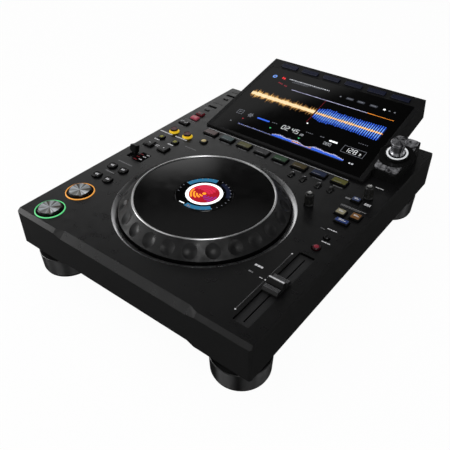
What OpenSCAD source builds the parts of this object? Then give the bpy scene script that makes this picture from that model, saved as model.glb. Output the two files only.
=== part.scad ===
// Tabletop media player for DJs: a bevelled case on four drum feet, with a jog wheel,
// a tempo slider, key fields and a tilted touch screen that overhangs the back.
// Deck frame: X across the middle, Y from the front face, Z from the deck surface.

/* [Case] */
// Width of the case
body_w = 329; // [322:1:345]
// Height of the case from the deck to the bottom of the corner skirts
body_h = 46.3; // [44:0.1:60]
// Wall of the case
wall = 3; // [2.5:0.1:3.5]
// Thickness of the deck
deck_t = 3; // [2.5:0.1:3.5]
// Radius of the upright corners
corner_r = 3; // [1:0.5:4]
// Depth of the middle bevel of the front edge
bevel_y = 8; // [5:0.5:9]
// Height of the middle bevel of the front edge
bevel_z = 7; // [4:0.5:8]
// Depth of the bevel at the two front corners
corner_bevel_y = 4.5; // [3:0.1:5.5]
// Height of the bevel at the two front corners
corner_bevel_z = 4.4; // [2:0.1:5]
// Width of the steep bevel along the sides of the deck
side_bevel_x = 1; // [0.5:0.1:1.5]
// Height of the steep bevel along the sides of the deck
side_bevel_z = 4; // [2:0.1:6]
// Width of the skirt at each front corner
skirt_w = 64.5; // [40:0.5:80]
// Length of the slanted end of the middle bevel and of the raised lower edge
bevel_end = 11; // [4:1:12]
// How far the lower front edge rises between the skirts
skirt_rise = 3.6; // [2:0.1:5]

/* [Layout of the deck] */
// Width of the control field at each side of the wheel
field_w = 58.9; // [58.5:0.1:62]
// Depth of the bare deck in front of the wheel
wheel_front = 30.4; // [28:0.1:36]
// Sideways shift of the wheel from the middle
jog_x = 1; // [0:0.5:2]
// Distance from the wheel's bezel to the middle of the hot-cue row
hot_step = 28.7; // [26:0.1:32]
// Distance from the hot-cue row to the front edge of the display
display_step = 15.2; // [14:0.1:20]
// Depth of the deck under the display
display_seat = 119.5; // [115:0.5:130]

/* [Feet] */
// Height from the table to the bottom of the skirts
foot_h = 36.2; // [30:0.2:50]
// Radius of the foot drum
foot_r = 32.2; // [26:0.2:34]
// How much narrower the drum is at its bottom
foot_taper = 1; // [0:0.1:2]
// Height of the foot drum with its pad
drum_h = 26; // [15:0.5:27]
// Radius of the neck above the drum
neck_r = 24; // [18:0.5:25]
// Height of the rubber pad under the drum
pad_h = 2; // [1:0.5:4]
// Distance of the drums from the sides of the case
foot_margin = 1.5; // [1:0.1:10]
// Distance of the drums from the front and the back of the case
foot_end_margin = 0.3; // [0.2:0.1:10]

/* [Chassis] */
// Thickness of the chassis sheet
sheet_t = 1.5; // [1:0.1:2]
// Height of the chassis sheet above the skirt bottom
chassis_rise = 3.8; // [3.6:0.1:6]
// How far the rear panel stands in from the back edge
panel_inset = 12; // [11:0.5:13]
// Thickness of the circuit boards
board_t = 1.6; // [1:0.1:2]
// Depth of the key board's top face under the deck surface
key_board_z = 9; // [8.5:0.5:12]

/* [Jog wheel] */
// Width of the dished bezel
bezel_w = 6.4; // [5:0.1:8]
// Depth of the dished bezel
bezel_depth = 9; // [6:0.5:12]
// Gap between the jog ring and the bezel
jog_gap = 1.2; // [0.6:0.1:2]
// Width of the dimpled slope
slope_w = 16; // [14:0.1:18]
// Height of the jog ring where its dimpled slope starts
ring_low_z = 0.9; // [0.5:0.1:2]
// Height of the top of the bright rim
rim_top_z = 16.9; // [15:0.1:20]
// Width of the bright rim
rim_w = 2.5; // [1.5:0.1:4]
// Number of finger dimples
dimples = 24; // [12:1:28]
// Radius of the ball that cuts a dimple
dimple_ball_r = 17; // [12:0.5:20]
// Radius of a dimple at its edge
dimple_r = 8.4; // [6:0.1:8.8]
// Radius of the centre display
centre_r = 33; // [28:0.5:34]
// Radius of the fixed spindle
spindle_r = 8; // [7:0.5:10]
// Outer radius of the jog bearings
bearing_r = 14; // [13:0.5:16]

/* [Tempo slider] */
// Distance of the slider from the right side of the case
fader_in = 24.9; // [23:0.1:26]
// Distance of the slider recess from the front face
recess_front = 17.9; // [16:0.1:22]
// Width of the slider recess
recess_w = 18; // [16:0.5:20]
// Length of the slider cap
fader_cap_l = 25; // [20:1:28]
// Width of the slider cap
fader_cap_w = 17.5; // [14:0.5:18]
// Height of the slider cap above the deck
fader_cap_h = 10; // [8:0.5:12]

/* [Play and cue] */
// Distance of the play and cue buttons from the left side of the case
play_in = 31.5; // [29:0.5:34]
// Distance of the play button's edge from the front face
play_front = 5.7; // [5.5:0.1:8]
// Distance between the play and cue buttons
cue_step = 44; // [41:0.5:46]
// Radius of the play and cue buttons with their lit rings
play_r = 17.3; // [15:0.1:17.5]
// Height of the raised middle of the play and cue buttons
play_h = 3.2; // [2:0.1:5]
// Width of the lit ring of the play and cue buttons
play_ring_w = 1.1; // [0.8:0.1:2]
// Width of the groove inside that ring
play_groove_w = 2.8; // [1:0.1:3.5]
// Travel of the play and cue buttons
play_travel = 1.5; // [1:0.1:1.6]

/* [Keys] */
// Travel of every small key
key_travel = 1.2; // [0.6:0.1:1.4]
// Height of the small round buttons
button_h = 2.4; // [1.5:0.1:4]
// Height of the square keys
key_h = 2.6; // [1.5:0.1:4]
// Gap around a key in its hole
key_gap = 0.35; // [0.3:0.05:0.5]
// Width of the collar that keeps a key in its hole
key_collar = 1.2; // [0.8:0.1:1.3]
// Radius of the search buttons
search_r = 6; // [5:0.1:6.5]
// Width of the jump keys
jump_w = 13.5; // [10:0.5:14]
// Depth of the jump keys
jump_d = 12.5; // [10:0.5:13]
// Radius of the small loop buttons
small_loop_r = 5; // [4:0.1:5.5]
// Radius of the ringed loop buttons
loop_r = 7.2; // [6:0.1:7.5]
// Height of the raised middle of the ringed loop buttons
loop_h = 3.4; // [2:0.1:4]
// Width of the lit ring of the loop buttons
loop_ring_w = 1.6; // [1:0.1:2]
// Width of a hot-cue key
hot_w = 20; // [16:0.5:22]
// Depth of a hot-cue key
hot_d = 11.5; // [9:0.5:12]

/* [Turning knobs] */
// Radius of the two turning knobs
knob_r = 5.2; // [5:0.1:6.2]
// Height of the two turning knobs
knob_h = 17; // [12:0.5:20]
// Radius of the shafts of knobs and selector
shaft_r = 3; // [2.5:0.1:3.2]

/* [Direction lever] */
// Lean of the lever to each side of upright
lever_lean = 16; // [12:1:18]
// Depth of the lever's pivot under the deck
lever_pivot_z = 14; // [13:0.5:15]
// Length of the lever from its pivot to its top
lever_l = 25; // [24:0.5:30]
// Radius of the lever's pivot pin
lever_pin_r = 1.5; // [1.2:0.1:1.8]

/* [Display] */
// Deck to the left of the display
display_left = 45.9; // [44:0.1:50]
// Deck to the right of the display
display_right = 41.1; // [41:0.1:46]
// Height of the housing's front edge above the deck
display_rise = 2.9; // [2.9:0.1:5]
// Tilt of the screen
display_tilt = 13; // [12:0.5:14]
// Length of the display housing along its slope
display_l = 177; // [174:1:195]
// Thickness of the display housing
display_t = 29.7; // [29:0.1:30]
// Wall of the display housing
shell_t = 2.5; // [2:0.1:3]
// Border at each side of the glass
glass_side = 6.5; // [6:0.1:10]
// Border in front of the glass
glass_front = 3.6; // [3.6:0.1:6]
// Strip with the soft keys behind the glass
key_strip = 20.4; // [19:0.1:22]
// Thickness of the glass
glass_t = 1.2; // [1:0.1:1.4]
// Width of a soft key
soft_key_w = 26; // [18:1:28]
// Depth of a soft key
soft_key_d = 8.6; // [5:0.2:9]

/* [Selector] */
// Deck to the right of the selector block
block_margin = 9.1; // [8:0.1:9.4]
// Width of the selector block
block_w = 31.4; // [31:0.1:31.6]
// Length of the selector block
block_l = 66; // [64:0.5:68]
// Height of the selector block's front
block_h = 12.5; // [10:0.5:16]
// Radius of the lit collar around the knob
collar_r = 13.6; // [12:0.1:14]
// Radius of the selector knob
selector_r = 8.8; // [8:0.1:10]
// Height of the selector knob
selector_h = 17; // [12:0.5:20]
// Travel of the selector when it is pressed
selector_travel = 0.8; // [0.5:0.1:1]
// Height of the pads around the selector
pad_top = 1.6; // [1:0.1:2]
// Radius of the round clearing between the pads
pad_clear_r = 22.5; // [19:0.5:24]

/* [Sockets] */
// Length of the media sockets in the deck
usb_w = 15; // [13:0.5:16]
// Width of the media sockets in the deck
usb_d = 5.2; // [4.6:0.1:6]
// Distance of the media sockets from the left side of the case
usb_in = 17; // [15.5:0.5:18]

/* [Hidden] */
$fn = 64;

// Clearances
run_gap = 0.05;
seat_gap = 0.2;
free_gap = 0.3;
over = 1;

// The wheel takes what the two control fields leave of the width, and the rows behind it
// and the display follow it towards the back
left_x = -body_w / 2;
right_x = body_w / 2;
bezel_r = body_w / 2 - field_w;
jog_y = wheel_front + bezel_r;
wheel_back = jog_y + bezel_r;
hot_y = wheel_back + hot_step;
display_front = hot_y + display_step;
body_d = display_front + display_seat;
bevel_half = body_w / 2 - skirt_w - bevel_end;

// Case and frame
deck_z = foot_h + body_h;
total_d = display_front + display_l * cos(display_tilt) + display_t * sin(display_tilt);
front_y = -total_d / 2;
chassis_z = chassis_rise - body_h;
chassis_top = chassis_z + sheet_t;
inner_x = body_w / 2 - wall;
panel_y = body_d - panel_inset - sheet_t;
foot_x = body_w / 2 - foot_r - foot_margin;
foot_front_y = foot_r + foot_end_margin;
foot_rear_y = body_d - foot_r - foot_end_margin;

// Keys
play_x = left_x + play_in;
play_y = play_r + play_front;
cue_y = play_y + cue_step;

// Distance from the front face of a row between the cue button, 0, and the hot-cue keys, 1
function row(share) = cue_y + share * (hot_y - cue_y);

collar_t = 1.2;
key_bottom = -deck_t - free_gap - collar_t;
key_chamfer = 0.6;
key_corner = 1;
switch_r = 2;
search_places = [
    [left_x + 20.5, row(0.18)], [left_x + 39.5, row(0.18)],
    [left_x + 20.5, row(0.307)], [left_x + 39.5, row(0.307)]
];
jump_places = [[left_x + 19, row(0.647)], [left_x + 43.8, row(0.647)]];
small_loop_places = [[left_x + 19.7, row(0.757)], [left_x + 43.9, row(0.757)]];
loop_places = [[left_x + 21.9, row(0.87)], [left_x + 45.9, row(0.87)]];
reloop_place = [left_x + 72.9, row(0.882)];
reloop_r = 5.2;
beat_loop_place = [left_x + 17.3, hot_y];
beat_loop_size = [15.5, 7.5];
slip_place = [left_x + 20, hot_y + 20.2];
quantize_place = [left_x + 18.5, hot_y + 34.2];
red_key_size = [11.5, 8];
hot_x = 1.5;
hot_count = 8;
hot_pitch = (body_w - 101.8) / hot_count;
range_place = [right_x - 23.3, row(0.501)];
range_r = 3.2;
reset_place = [right_x - 24.1, row(0.4)];
reset_r = 4.4;
feel_knob_angle = 37.8;
feel_knob_reach = bezel_r + 13;
knob_places = [
    [jog_x + feel_knob_reach * cos(feel_knob_angle), jog_y + feel_knob_reach * sin(feel_knob_angle)],
    [right_x - 22, hot_y - 8.8]
];

// Keys of the function field: place, then width and depth
square_keys = [
    [[right_x - 30.3, row(0.893)], [11, 9]],
    [[right_x - 33, row(0.738)], [12, 10.5]],
    [[right_x - 15.5, row(0.748)], [12, 12]],
    [[right_x - 24.1, row(0.667)], [16.5, 8]]
];
tiny_y = wheel_back + 5.6;
tiny_keys = [[45.6, tiny_y], [62.2, tiny_y], [83.9, tiny_y - 1], [100, tiny_y]];
tiny_r = 3.5;

// Media sockets
usb_x = left_x + usb_in;
usb_places = [hot_y + 64.2, hot_y + 109.2];
stop_key_step = -13;
stop_key_size = [8, 3.4];
groove_step = 12.5;
groove_w = 0.8;
usb_shell_z = 6;
usb_shell_t = 0.5;
usb_shell_l = 13;
usb_frame = 2;

// Jog wheel
jog_r = bezel_r - bezel_w - jog_gap;
rim_r = jog_r - slope_w;
ring_slope = (rim_top_z - 0.7 - ring_low_z) / (jog_r - rim_r);
rim_seat_z = rim_top_z - 3.5;
plate_t = 2.2;
web_t = 3;
web_z = rim_seat_z - plate_t - web_t - 3;
jog_skirt = 5;
hub_wall = 5;
hub_bottom = -18;
pan_z = -26;
pan_t = 2;
flange_t = 2;
flange_r = bezel_r + 6;
dish_r = bezel_r - bezel_w;
dish_wall = 2;
bearing_h = 6.5;
bearing_places = [-17, -2];
centre_bottom = web_z + web_t + free_gap + 0.2;
centre_top = rim_top_z - 1;

// Slider
recess_l = row(0.324) - recess_front;
fader_x = right_x - fader_in;
fader_y = recess_front + recess_l / 2;
carriage_w = 4;
carriage_l = 8;
fader_travel = (recess_l - carriage_l - 11) / 2;
slit_w = 1.6;
plate_margin = 4.5;
fader_body_w = 11;
fader_body_h = 11.5;

// Lever
lever_x = left_x + 18.5;
lever_y = row(0.487);
lever_slot = [7, 16];
lever_stem = [6, 3];
lever_cap_size = [9, 6.5];
lever_cap_rise = 2;
lever_cap_l = lever_l - lever_pivot_z - lever_cap_rise;
lever_hub_r = 3;
ear_t = 2.5;

// Display
display_w = body_w - display_left - display_right;
display_x = (display_left - display_right) / 2;
glass_w = display_w - 2 * glass_side;
glass_l = display_l - glass_front - key_strip;
glass_ledge = 3.5;
lcd_t = 3;
body_back_u = (body_d + over - display_front - display_t * sin(display_tilt)) / cos(display_tilt);
soft_key_count = 6;
soft_key_u = display_l - 0.56 * key_strip;
soft_key_shift = 1.2;
soft_key_pitch = (glass_w - 14.8) / soft_key_count;
soft_key_h = 1.4;

// Selector
block_x = right_x - block_margin - block_w;
block_y = display_front + 20.5;
block_wall = 2.2;
block_top_mid = block_h + block_l / 2 * tan(display_tilt);
block_mid_x = block_x + block_w / 2;
block_mid_y = block_y + block_l / 2;
base_ring_r = 15;
base_ring_h = 2.4;
pad_clear_shift = 2.5;
collar_h = 1;
bush_l = 8;

// Rear sockets: sideways places on the rear panel and their middle height
inlet_x = left_x + 44.5;
switch_x = left_x + 82.5;
lan_x = right_x - 144.5;
rca_places = [right_x - 104.5, right_x - 86.5, right_x - 60.5];
socket_z = chassis_top + 19;
inlet_size = [27.4, 20.4];
lan_size = [16.4, 14.4];
rca_r = 4.15;
rca_pin_r = 1.65;
rca_l = 9;
switch_size = [13, 19];
switch_tilt = 12;
switch_pin_r = 1.2;
switch_pivot = 5;
vent_pitch = 6;
vent_count = floor((lan_x - switch_x - 48) / vent_pitch);

// Opening in the deck under the display, in front of the rear bosses
cable_opening = [display_w - 40, panel_y - 14 - display_front - 25];

// Screw bosses of the case
boss_r = 4.5;
screw_r = 1.45;
bosses = [
    [left_x + 60.5, wall + boss_r + 1.5], [right_x - 60.5, wall + boss_r + 1.5],
    [left_x + 8, row(0.103)], [right_x - 8, row(0.448)],
    [(inlet_x + switch_x) / 2 + 3, panel_y - 6], [right_x - 73.5, panel_y - 6]
];

// Everything that stands on the deck is placed in the deck frame
module deck() {
    translate([0, front_y, deck_z]) children();
}

// Extrudes a drawing of Y and Z along X
module along_x(x0, x1) {
    translate([x0, 0, 0]) rotate([90, 0, 90]) linear_extrude(x1 - x0) children();
}

// Extrudes a drawing of X and Z along Y
module along_y(y0, y1) {
    translate([0, y1, 0]) rotate([90, 0, 0]) linear_extrude(y1 - y0) children();
}

module rounded_rect(w, d, r) {
    translate([-w / 2 + r, -d / 2]) square([w - 2 * r, d]);
    translate([-w / 2, -d / 2 + r]) square([w, d - 2 * r]);
    for (x = [r - w / 2, w / 2 - r], y = [r - d / 2, d / 2 - r]) {
        translate([x, y]) circle(r);
    }
}

// A pipe from z0 to z1
module pipe(r_out, r_in, z0, z1) {
    translate([0, 0, z0]) difference() {
        cylinder(r = r_out, h = z1 - z0);
        translate([0, 0, -over]) cylinder(r = r_in, h = z1 - z0 + 2 * over);
    }
}

module rod(r, z0, z1) {
    translate([0, 0, z0]) cylinder(r = r, h = z1 - z0);
}

// The wedge that a bevel of depth y and height z takes off the front edge
module bevel_wedge(y, z) {
    polygon([[-over, over], [y + y / z * over, over], [-over, -z - z / y * over]]);
}

// Where the bevel of the middle grows out of the one at a corner
module bevel_blend(side) {
    slice = 0.1;
    x = side * bevel_half;
    hull() {
        along_x(x - slice, x + slice) bevel_wedge(bevel_y, bevel_z);
        along_x(x + side * bevel_end - slice, x + side * bevel_end + slice)
            bevel_wedge(corner_bevel_y, corner_bevel_z);
    }
}

// ---------------------------------------------------------------- case

module case_outside() {
    difference() {
        translate([0, body_d / 2, -body_h])
            linear_extrude(body_h) rounded_rect(body_w, body_d, corner_r);
        along_x(-body_w, body_w) bevel_wedge(corner_bevel_y, corner_bevel_z);
        along_x(-bevel_half, bevel_half) bevel_wedge(bevel_y, bevel_z);
        for (side = [-1, 1]) bevel_blend(side);
        for (side = [0, 1]) mirror([side, 0, 0]) along_y(-over, body_d + over) polygon([
            [right_x + over, over],
            [right_x - side_bevel_x * (1 + over / side_bevel_z), over],
            [right_x + over, -side_bevel_z * (1 + over / side_bevel_x)]
        ]);
        along_y(-over, wall + over) polygon([
            [-bevel_half - bevel_end, -body_h - over],
            [-bevel_half, -body_h + skirt_rise],
            [bevel_half, -body_h + skirt_rise],
            [bevel_half + bevel_end, -body_h - over]
        ]);
    }
}

module case_inside() {
    slant = sqrt(bevel_y * bevel_y + bevel_z * bevel_z);
    difference() {
        translate([-inner_x, wall, -body_h - over])
            cube([2 * inner_x, body_d, body_h + over - deck_t]);
        along_x(-bevel_half - bevel_end - wall, bevel_half + bevel_end + wall)
            bevel_wedge(bevel_y + wall * slant / bevel_z, bevel_z + wall * slant / bevel_y);
    }
}

// Cuts a hole with straight walls through the deck
module deck_hole(place, size) {
    translate([place[0], place[1], -deck_t - over])
        linear_extrude(deck_t + 2 * over)
            rounded_rect(size[0] + 2 * key_gap, size[1] + 2 * key_gap, key_corner + key_gap);
}

module deck_round_hole(place, r) {
    translate([place[0], place[1], 0]) rod(r + key_gap, -deck_t - over, over);
}

module key_holes() {
    deck_round_hole([play_x, play_y], play_r);
    deck_round_hole([play_x, cue_y], play_r);
    for (p = search_places) deck_round_hole(p, search_r);
    for (p = jump_places) deck_hole(p, [jump_w, jump_d]);
    for (p = small_loop_places) deck_round_hole(p, small_loop_r);
    for (p = loop_places) deck_round_hole(p, loop_r);
    deck_round_hole(reloop_place, reloop_r);
    deck_hole(beat_loop_place, beat_loop_size);
    deck_hole(slip_place, red_key_size);
    deck_hole(quantize_place, red_key_size);
    for (i = [0 : hot_count - 1]) deck_hole(hot_place(i), [hot_w, hot_d]);
    deck_round_hole(range_place, range_r);
    deck_round_hole(reset_place, reset_r);
    for (k = square_keys) deck_hole(k[0], k[1]);
    for (p = tiny_keys) deck_round_hole(p, tiny_r);
    for (y = usb_places) deck_hole([usb_x, y + stop_key_step], stop_key_size);
    for (p = knob_places) deck_round_hole(p, shaft_r);
}

function hot_place(i) = [hot_x + (i - (hot_count - 1) / 2) * hot_pitch, hot_y];

module lever_ears() {
    for (side = [-1, 1]) {
        translate([lever_x + side * (lever_stem[0] / 2 + free_gap + ear_t / 2), lever_y, 0])
            difference() {
                translate([-ear_t / 2, -4, -lever_pivot_z - 4])
                    cube([ear_t, 8, lever_pivot_z + 4 - deck_t + 0.5]);
                translate([-ear_t, 0, -lever_pivot_z])
                    rotate([0, 90, 0]) cylinder(r = lever_pin_r + run_gap, h = 2 * ear_t);
            }
    }
}

module top_case() {
    color([0.09, 0.09, 0.1]) deck() {
        difference() {
            union() {
                difference() {
                    case_outside();
                    case_inside();
                }
                for (b = bosses) translate([b[0], b[1], 0]) rod(boss_r, chassis_top, -deck_t + 0.5);
                lever_ears();
            }
            for (b = bosses) translate([b[0], b[1], 0]) rod(screw_r + run_gap, chassis_z, -body_h / 2);
            translate([jog_x, jog_y, 0]) rod(bezel_r, -deck_t - over, over);
            translate([fader_x, fader_y, -deck_t - over])
                linear_extrude(deck_t + 2 * over) rounded_rect(recess_w, recess_l, key_corner);
            translate([lever_x, lever_y, -deck_t - over])
                linear_extrude(deck_t + 2 * over) rounded_rect(lever_slot[0], lever_slot[1], key_corner);
            key_holes();
            for (y = usb_places) {
                translate([usb_x - usb_w / 2, y - usb_d / 2, -deck_t - over])
                    cube([usb_w, usb_d, deck_t + 2 * over]);
                translate([usb_x - usb_w / 2 - 2, y + groove_step, -groove_w])
                    cube([usb_w + 4, groove_w, groove_w + over]);
            }
            translate([display_x - cable_opening[0] / 2, display_front + 25, -deck_t - over])
                cube([cable_opening[0], cable_opening[1], deck_t + 2 * over]);
        }
    }
}

// ---------------------------------------------------------------- chassis, feet, screws

foot_places = [
    [-foot_x, foot_front_y], [foot_x, foot_front_y],
    [-foot_x, foot_rear_y], [foot_x, foot_rear_y]
];
foot_screw_r = 2.4;
foot_low_r = foot_r - foot_taper;
foot_bottom = -deck_z + pad_h;
drum_top = -deck_z + drum_h;

module rear_cutouts() {
    for (c = [[inlet_x, inlet_size], [lan_x, lan_size], [switch_x, switch_size + [2.8, 2.8]]]) {
        translate([c[0], 0, socket_z]) along_y(0, body_d + over)
            square(c[1] + 2 * [seat_gap, seat_gap], center = true);
    }
    for (x = rca_places) {
        translate([x, body_d + over, socket_z])
            rotate([90, 0, 0]) cylinder(r = rca_r + free_gap, h = body_d);
    }
    for (i = [0 : vent_count - 1]) {
        translate([switch_x + 32 + i * vent_pitch, panel_y - over, socket_z - 8])
            cube([2.5, sheet_t + 2 * over, 16]);
    }
}

module chassis() {
    color([0.16, 0.16, 0.17]) deck() difference() {
        union() {
            translate([-inner_x + seat_gap, wall + seat_gap, chassis_z])
                cube([2 * (inner_x - seat_gap), panel_y + sheet_t - wall - seat_gap, sheet_t]);
            translate([-inner_x + seat_gap, panel_y, chassis_z])
                cube([2 * (inner_x - seat_gap), sheet_t, -deck_t - seat_gap - chassis_z]);
        }
        intersection() {
            translate([-body_w, panel_y - over, chassis_top + over])
                cube([2 * body_w, body_d, body_h]);
            rear_cutouts();
        }
        for (p = foot_places) {
            translate([p[0], p[1], 0]) rod(foot_screw_r + run_gap, chassis_z - over, chassis_top + over);
        }
        for (b = bosses) {
            translate([b[0], b[1], 0]) rod(screw_r + run_gap, chassis_z - over, chassis_top + over);
        }
    }
}

module feet() {
    color([0.13, 0.13, 0.14]) deck() for (p = foot_places) {
        translate([p[0], p[1], 0]) rotate_extrude() polygon([
            [foot_screw_r + free_gap, chassis_z],
            [neck_r, chassis_z],
            [neck_r, drum_top],
            [foot_r - 1, drum_top],
            [foot_r, drum_top - 1],
            [foot_low_r, foot_bottom + 1],
            [foot_low_r - 0.6, foot_bottom],
            [foot_low_r - 3.6, foot_bottom],
            [foot_low_r - 3.6, drum_top - 3],
            [neck_r - 3.5, drum_top - 3],
            [neck_r - 3.5, chassis_z - 3.5],
            [foot_screw_r + free_gap, chassis_z - 3.5]
        ]);
    }
}

module foot_pads() {
    color([0.05, 0.05, 0.05]) deck() for (p = foot_places) {
        translate([p[0], p[1], 0]) rod(foot_low_r - 1.1, -deck_z, foot_bottom);
    }
}

module screws() {
    color([0.6, 0.6, 0.62]) deck() {
        for (p = foot_places) translate([p[0], p[1], 0]) {
            rod(foot_screw_r, chassis_z - 3.5 - 1, chassis_top + 3);
            rod(2 * foot_screw_r, chassis_z - 3.5 - 3, chassis_z - 3.5);
            rod(2 * foot_screw_r, chassis_top, chassis_top + 2.5);
        }
        for (b = bosses) translate([b[0], b[1], 0]) {
            rod(screw_r, chassis_z - 1, chassis_z + 10);
            rod(2 * screw_r, chassis_z - 2, chassis_z);
        }
    }
}

// ---------------------------------------------------------------- boards

standoff_h = 6;
standoff_r = 3;
board_back = panel_y - 16;
board_depth = 117.5;
board_ends = [inlet_x + 15, rca_places[0] - 5];
main_board_box = [[board_ends[0], board_back - board_depth], [board_ends[1], board_back]];
supply_back = panel_y - 18;
supply_size = [78, 98.5];
supply_side = right_x - 14.5;
supply_box = [
    [supply_side - supply_size[0], supply_back - supply_size[1]],
    [supply_side, supply_back]
];

// Blocks on the two boards: place from the board's corner, then size
main_blocks = [
    [[45, 42], [36, 36, 2.5]], [[95, 47], [26, 26, 2]],
    [[45, 92], [12, 10, 1.2]], [[63, 92], [12, 10, 1.2]],
    [[81, 92], [12, 10, 1.2]], [[99, 92], [12, 10, 1.2]]
];
supply_blocks = [[[14, 20], [30, 26, 17]], [[12, 60], [8, 32, 18]]];
capacitor_places = [[58, 25], [58, 47], [58, 69]];
capacitor_r = 7;
capacitor_h = 16;

// A board, seated on four standoffs that are one with it
module board_on_standoffs(box, foot_z) {
    w = box[1][0] - box[0][0];
    d = box[1][1] - box[0][1];
    translate([box[0][0], box[0][1], foot_z + standoff_h]) cube([w, d, board_t]);
    for (x = [box[0][0] + 6, box[1][0] - 6], y = [box[0][1] + 6, box[1][1] - 6]) {
        translate([x, y, 0]) rod(standoff_r, foot_z, foot_z + standoff_h + board_t / 2);
    }
}

module main_board() {
    color([0.05, 0.25, 0.12]) deck() {
        board_on_standoffs(main_board_box, chassis_top);
        translate([main_board_box[0][0], main_board_box[0][1], chassis_top + standoff_h + board_t]) {
            for (b = main_blocks) translate([b[0][0], b[0][1], 0]) cube(b[1]);
        }
    }
}

module power_supply() {
    color([0.5, 0.5, 0.5]) deck() {
        board_on_standoffs(supply_box, chassis_top);
        translate([supply_box[0][0], supply_box[0][1], chassis_top + standoff_h + board_t]) {
            for (b = supply_blocks) translate([b[0][0], b[0][1], 0]) cube(b[1]);
            for (p = capacitor_places) translate([p[0], p[1], 0]) rod(capacitor_r, 0, capacitor_h);
        }
    }
}

// A switch that stands on the key board under a key
module key_switch(place, travel) {
    translate([place[0], place[1], 0])
        rod(switch_r, -key_board_z - board_t / 2, key_bottom - travel - free_gap);
}

// The pot of a turning knob, with the bore that its shaft turns in
module knob_pot(place) {
    translate([place[0], place[1], 0]) difference() {
        rod(shaft_r + 3.5, -key_board_z - board_t / 2, -deck_t - seat_gap);
        rod(shaft_r + run_gap, -key_board_z, over);
    }
}

module key_board() {
    strip_w = 46;
    row_front = hot_y - 17.8;
    standoffs = [
        [play_x, (play_y + cue_y) / 2], [left_x + 30, row(0.116)], [left_x + 31.5, row(0.573)],
        [left_x + 34.5, row(0.94)], [left_x + 36.5, display_front + 14.5],
        [-55, row(0.94)], [2, row(0.94)], [72, row(0.94) + 0.5],
        [right_x - 43.5, row(0.482)], [right_x - 46.5, row(0.81)]
    ];
    color([0.05, 0.22, 0.3]) deck() {
        translate([0, 0, -key_board_z - board_t]) linear_extrude(board_t) difference() {
            union() {
                translate([left_x + 6.5, 8]) square([strip_w, panel_y - 11]);
                translate([left_x + 6.5, row_front]) square([body_w - 13, 31]);
                translate([right_x - 49.5, row(0.369)])
                    square([43, display_front + 12.5 - row(0.369)]);
                translate([left_x + 52, reloop_place[1] - 8]) square([32.5, 16]);
                translate([36, tiny_y - 7]) square([right_x - 82.5, 14]);
                translate([knob_places[0][0] - 8, knob_places[0][1] - 8])
                    square([16, tiny_y - knob_places[0][1] + 8]);
            }
            translate([jog_x, jog_y]) circle(flange_r + 0.5);
            for (b = bosses) translate([b[0], b[1]]) circle(boss_r + 1);
            translate([lever_x - 7, lever_y - 8]) square([14, 16]);
            for (y = usb_places) translate([usb_x - 12, y - 6]) square([24, 12]);
        }
        for (p = standoffs) translate([p[0], p[1], 0])
            rod(2.5, -key_board_z - board_t / 2, -deck_t);
        key_switch([play_x, play_y], play_travel);
        key_switch([play_x, cue_y], play_travel);
        for (p = search_places) key_switch(p, key_travel);
        for (p = jump_places) key_switch(p, key_travel);
        for (p = small_loop_places) key_switch(p, key_travel);
        for (p = loop_places) key_switch(p, key_travel);
        key_switch(reloop_place, key_travel);
        key_switch(beat_loop_place, key_travel);
        key_switch(slip_place, key_travel);
        key_switch(quantize_place, key_travel);
        for (i = [0 : hot_count - 1]) key_switch(hot_place(i), key_travel);
        key_switch(range_place, key_travel);
        key_switch(reset_place, key_travel);
        for (k = square_keys) key_switch(k[0], 0);
        for (p = tiny_keys) key_switch(p, 0);
        for (p = knob_places) knob_pot(p);
    }
}

// ---------------------------------------------------------------- keys

// A key cap with bevelled upper edges and a collar under the deck
module key_cap(w, d, h) {
    intersection() {
        translate([0, 0, key_bottom]) linear_extrude(h - key_bottom) rounded_rect(w, d, key_corner);
        along_x(-w, w) polygon([
            [-d / 2, key_bottom - over],
            [d / 2, key_bottom - over],
            [d / 2, h - key_chamfer],
            [d / 2 - key_chamfer, h],
            [-d / 2 + key_chamfer, h],
            [-d / 2, h - key_chamfer]
        ]);
        along_y(-d, d) polygon([
            [-w / 2, key_bottom - over],
            [w / 2, key_bottom - over],
            [w / 2, h - key_chamfer],
            [w / 2 - key_chamfer, h],
            [-w / 2 + key_chamfer, h],
            [-w / 2, h - key_chamfer]
        ]);
    }
    translate([0, 0, key_bottom]) linear_extrude(collar_t)
        rounded_rect(w + 2 * key_collar, d + 2 * key_collar, key_corner + key_collar);
}

module square_key(place, size, shade) {
    color(shade) deck() translate([place[0], place[1], 0]) key_cap(size[0], size[1], key_h);
}

// A round button with a dished top and a collar under the deck
module button_cap(r, h, dish) {
    rotate_extrude() polygon([
        [0, key_bottom],
        [r + key_collar, key_bottom],
        [r + key_collar, key_bottom + collar_t],
        [r, key_bottom + collar_t],
        [r, h - key_chamfer],
        [r - key_chamfer, h],
        [r - 2 * key_chamfer - dish, h],
        [r - 3 * key_chamfer - dish, h - dish],
        [0, h - dish]
    ]);
}

module round_button(place, r, h, shade) {
    color(shade) deck() translate([place[0], place[1], 0]) button_cap(r, h, 0.4);
}

// A round button with a low ring, a groove and a raised middle
module ringed_button(place, r, ring_w, ring_z, groove_w, h, shade) {
    core_r = r - ring_w - groove_w;
    color(shade) deck() translate([place[0], place[1], 0]) rotate_extrude() polygon([
        [0, key_bottom],
        [r + key_collar, key_bottom],
        [r + key_collar, key_bottom + collar_t],
        [r, key_bottom + collar_t],
        [r, ring_z - 0.4],
        [r - 0.4, ring_z],
        [r - ring_w, ring_z],
        [r - ring_w, 0],
        [core_r, 0],
        [core_r, h - key_chamfer],
        [core_r - key_chamfer, h],
        [core_r - 2 * key_chamfer, h],
        [core_r - 2 * key_chamfer - 0.4, h - 0.3],
        [0, h - 0.3]
    ]);
}

module big_button(y, shade) {
    ringed_button([play_x, y], play_r, play_ring_w, 0.8, play_groove_w, play_h, shade);
}

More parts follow.
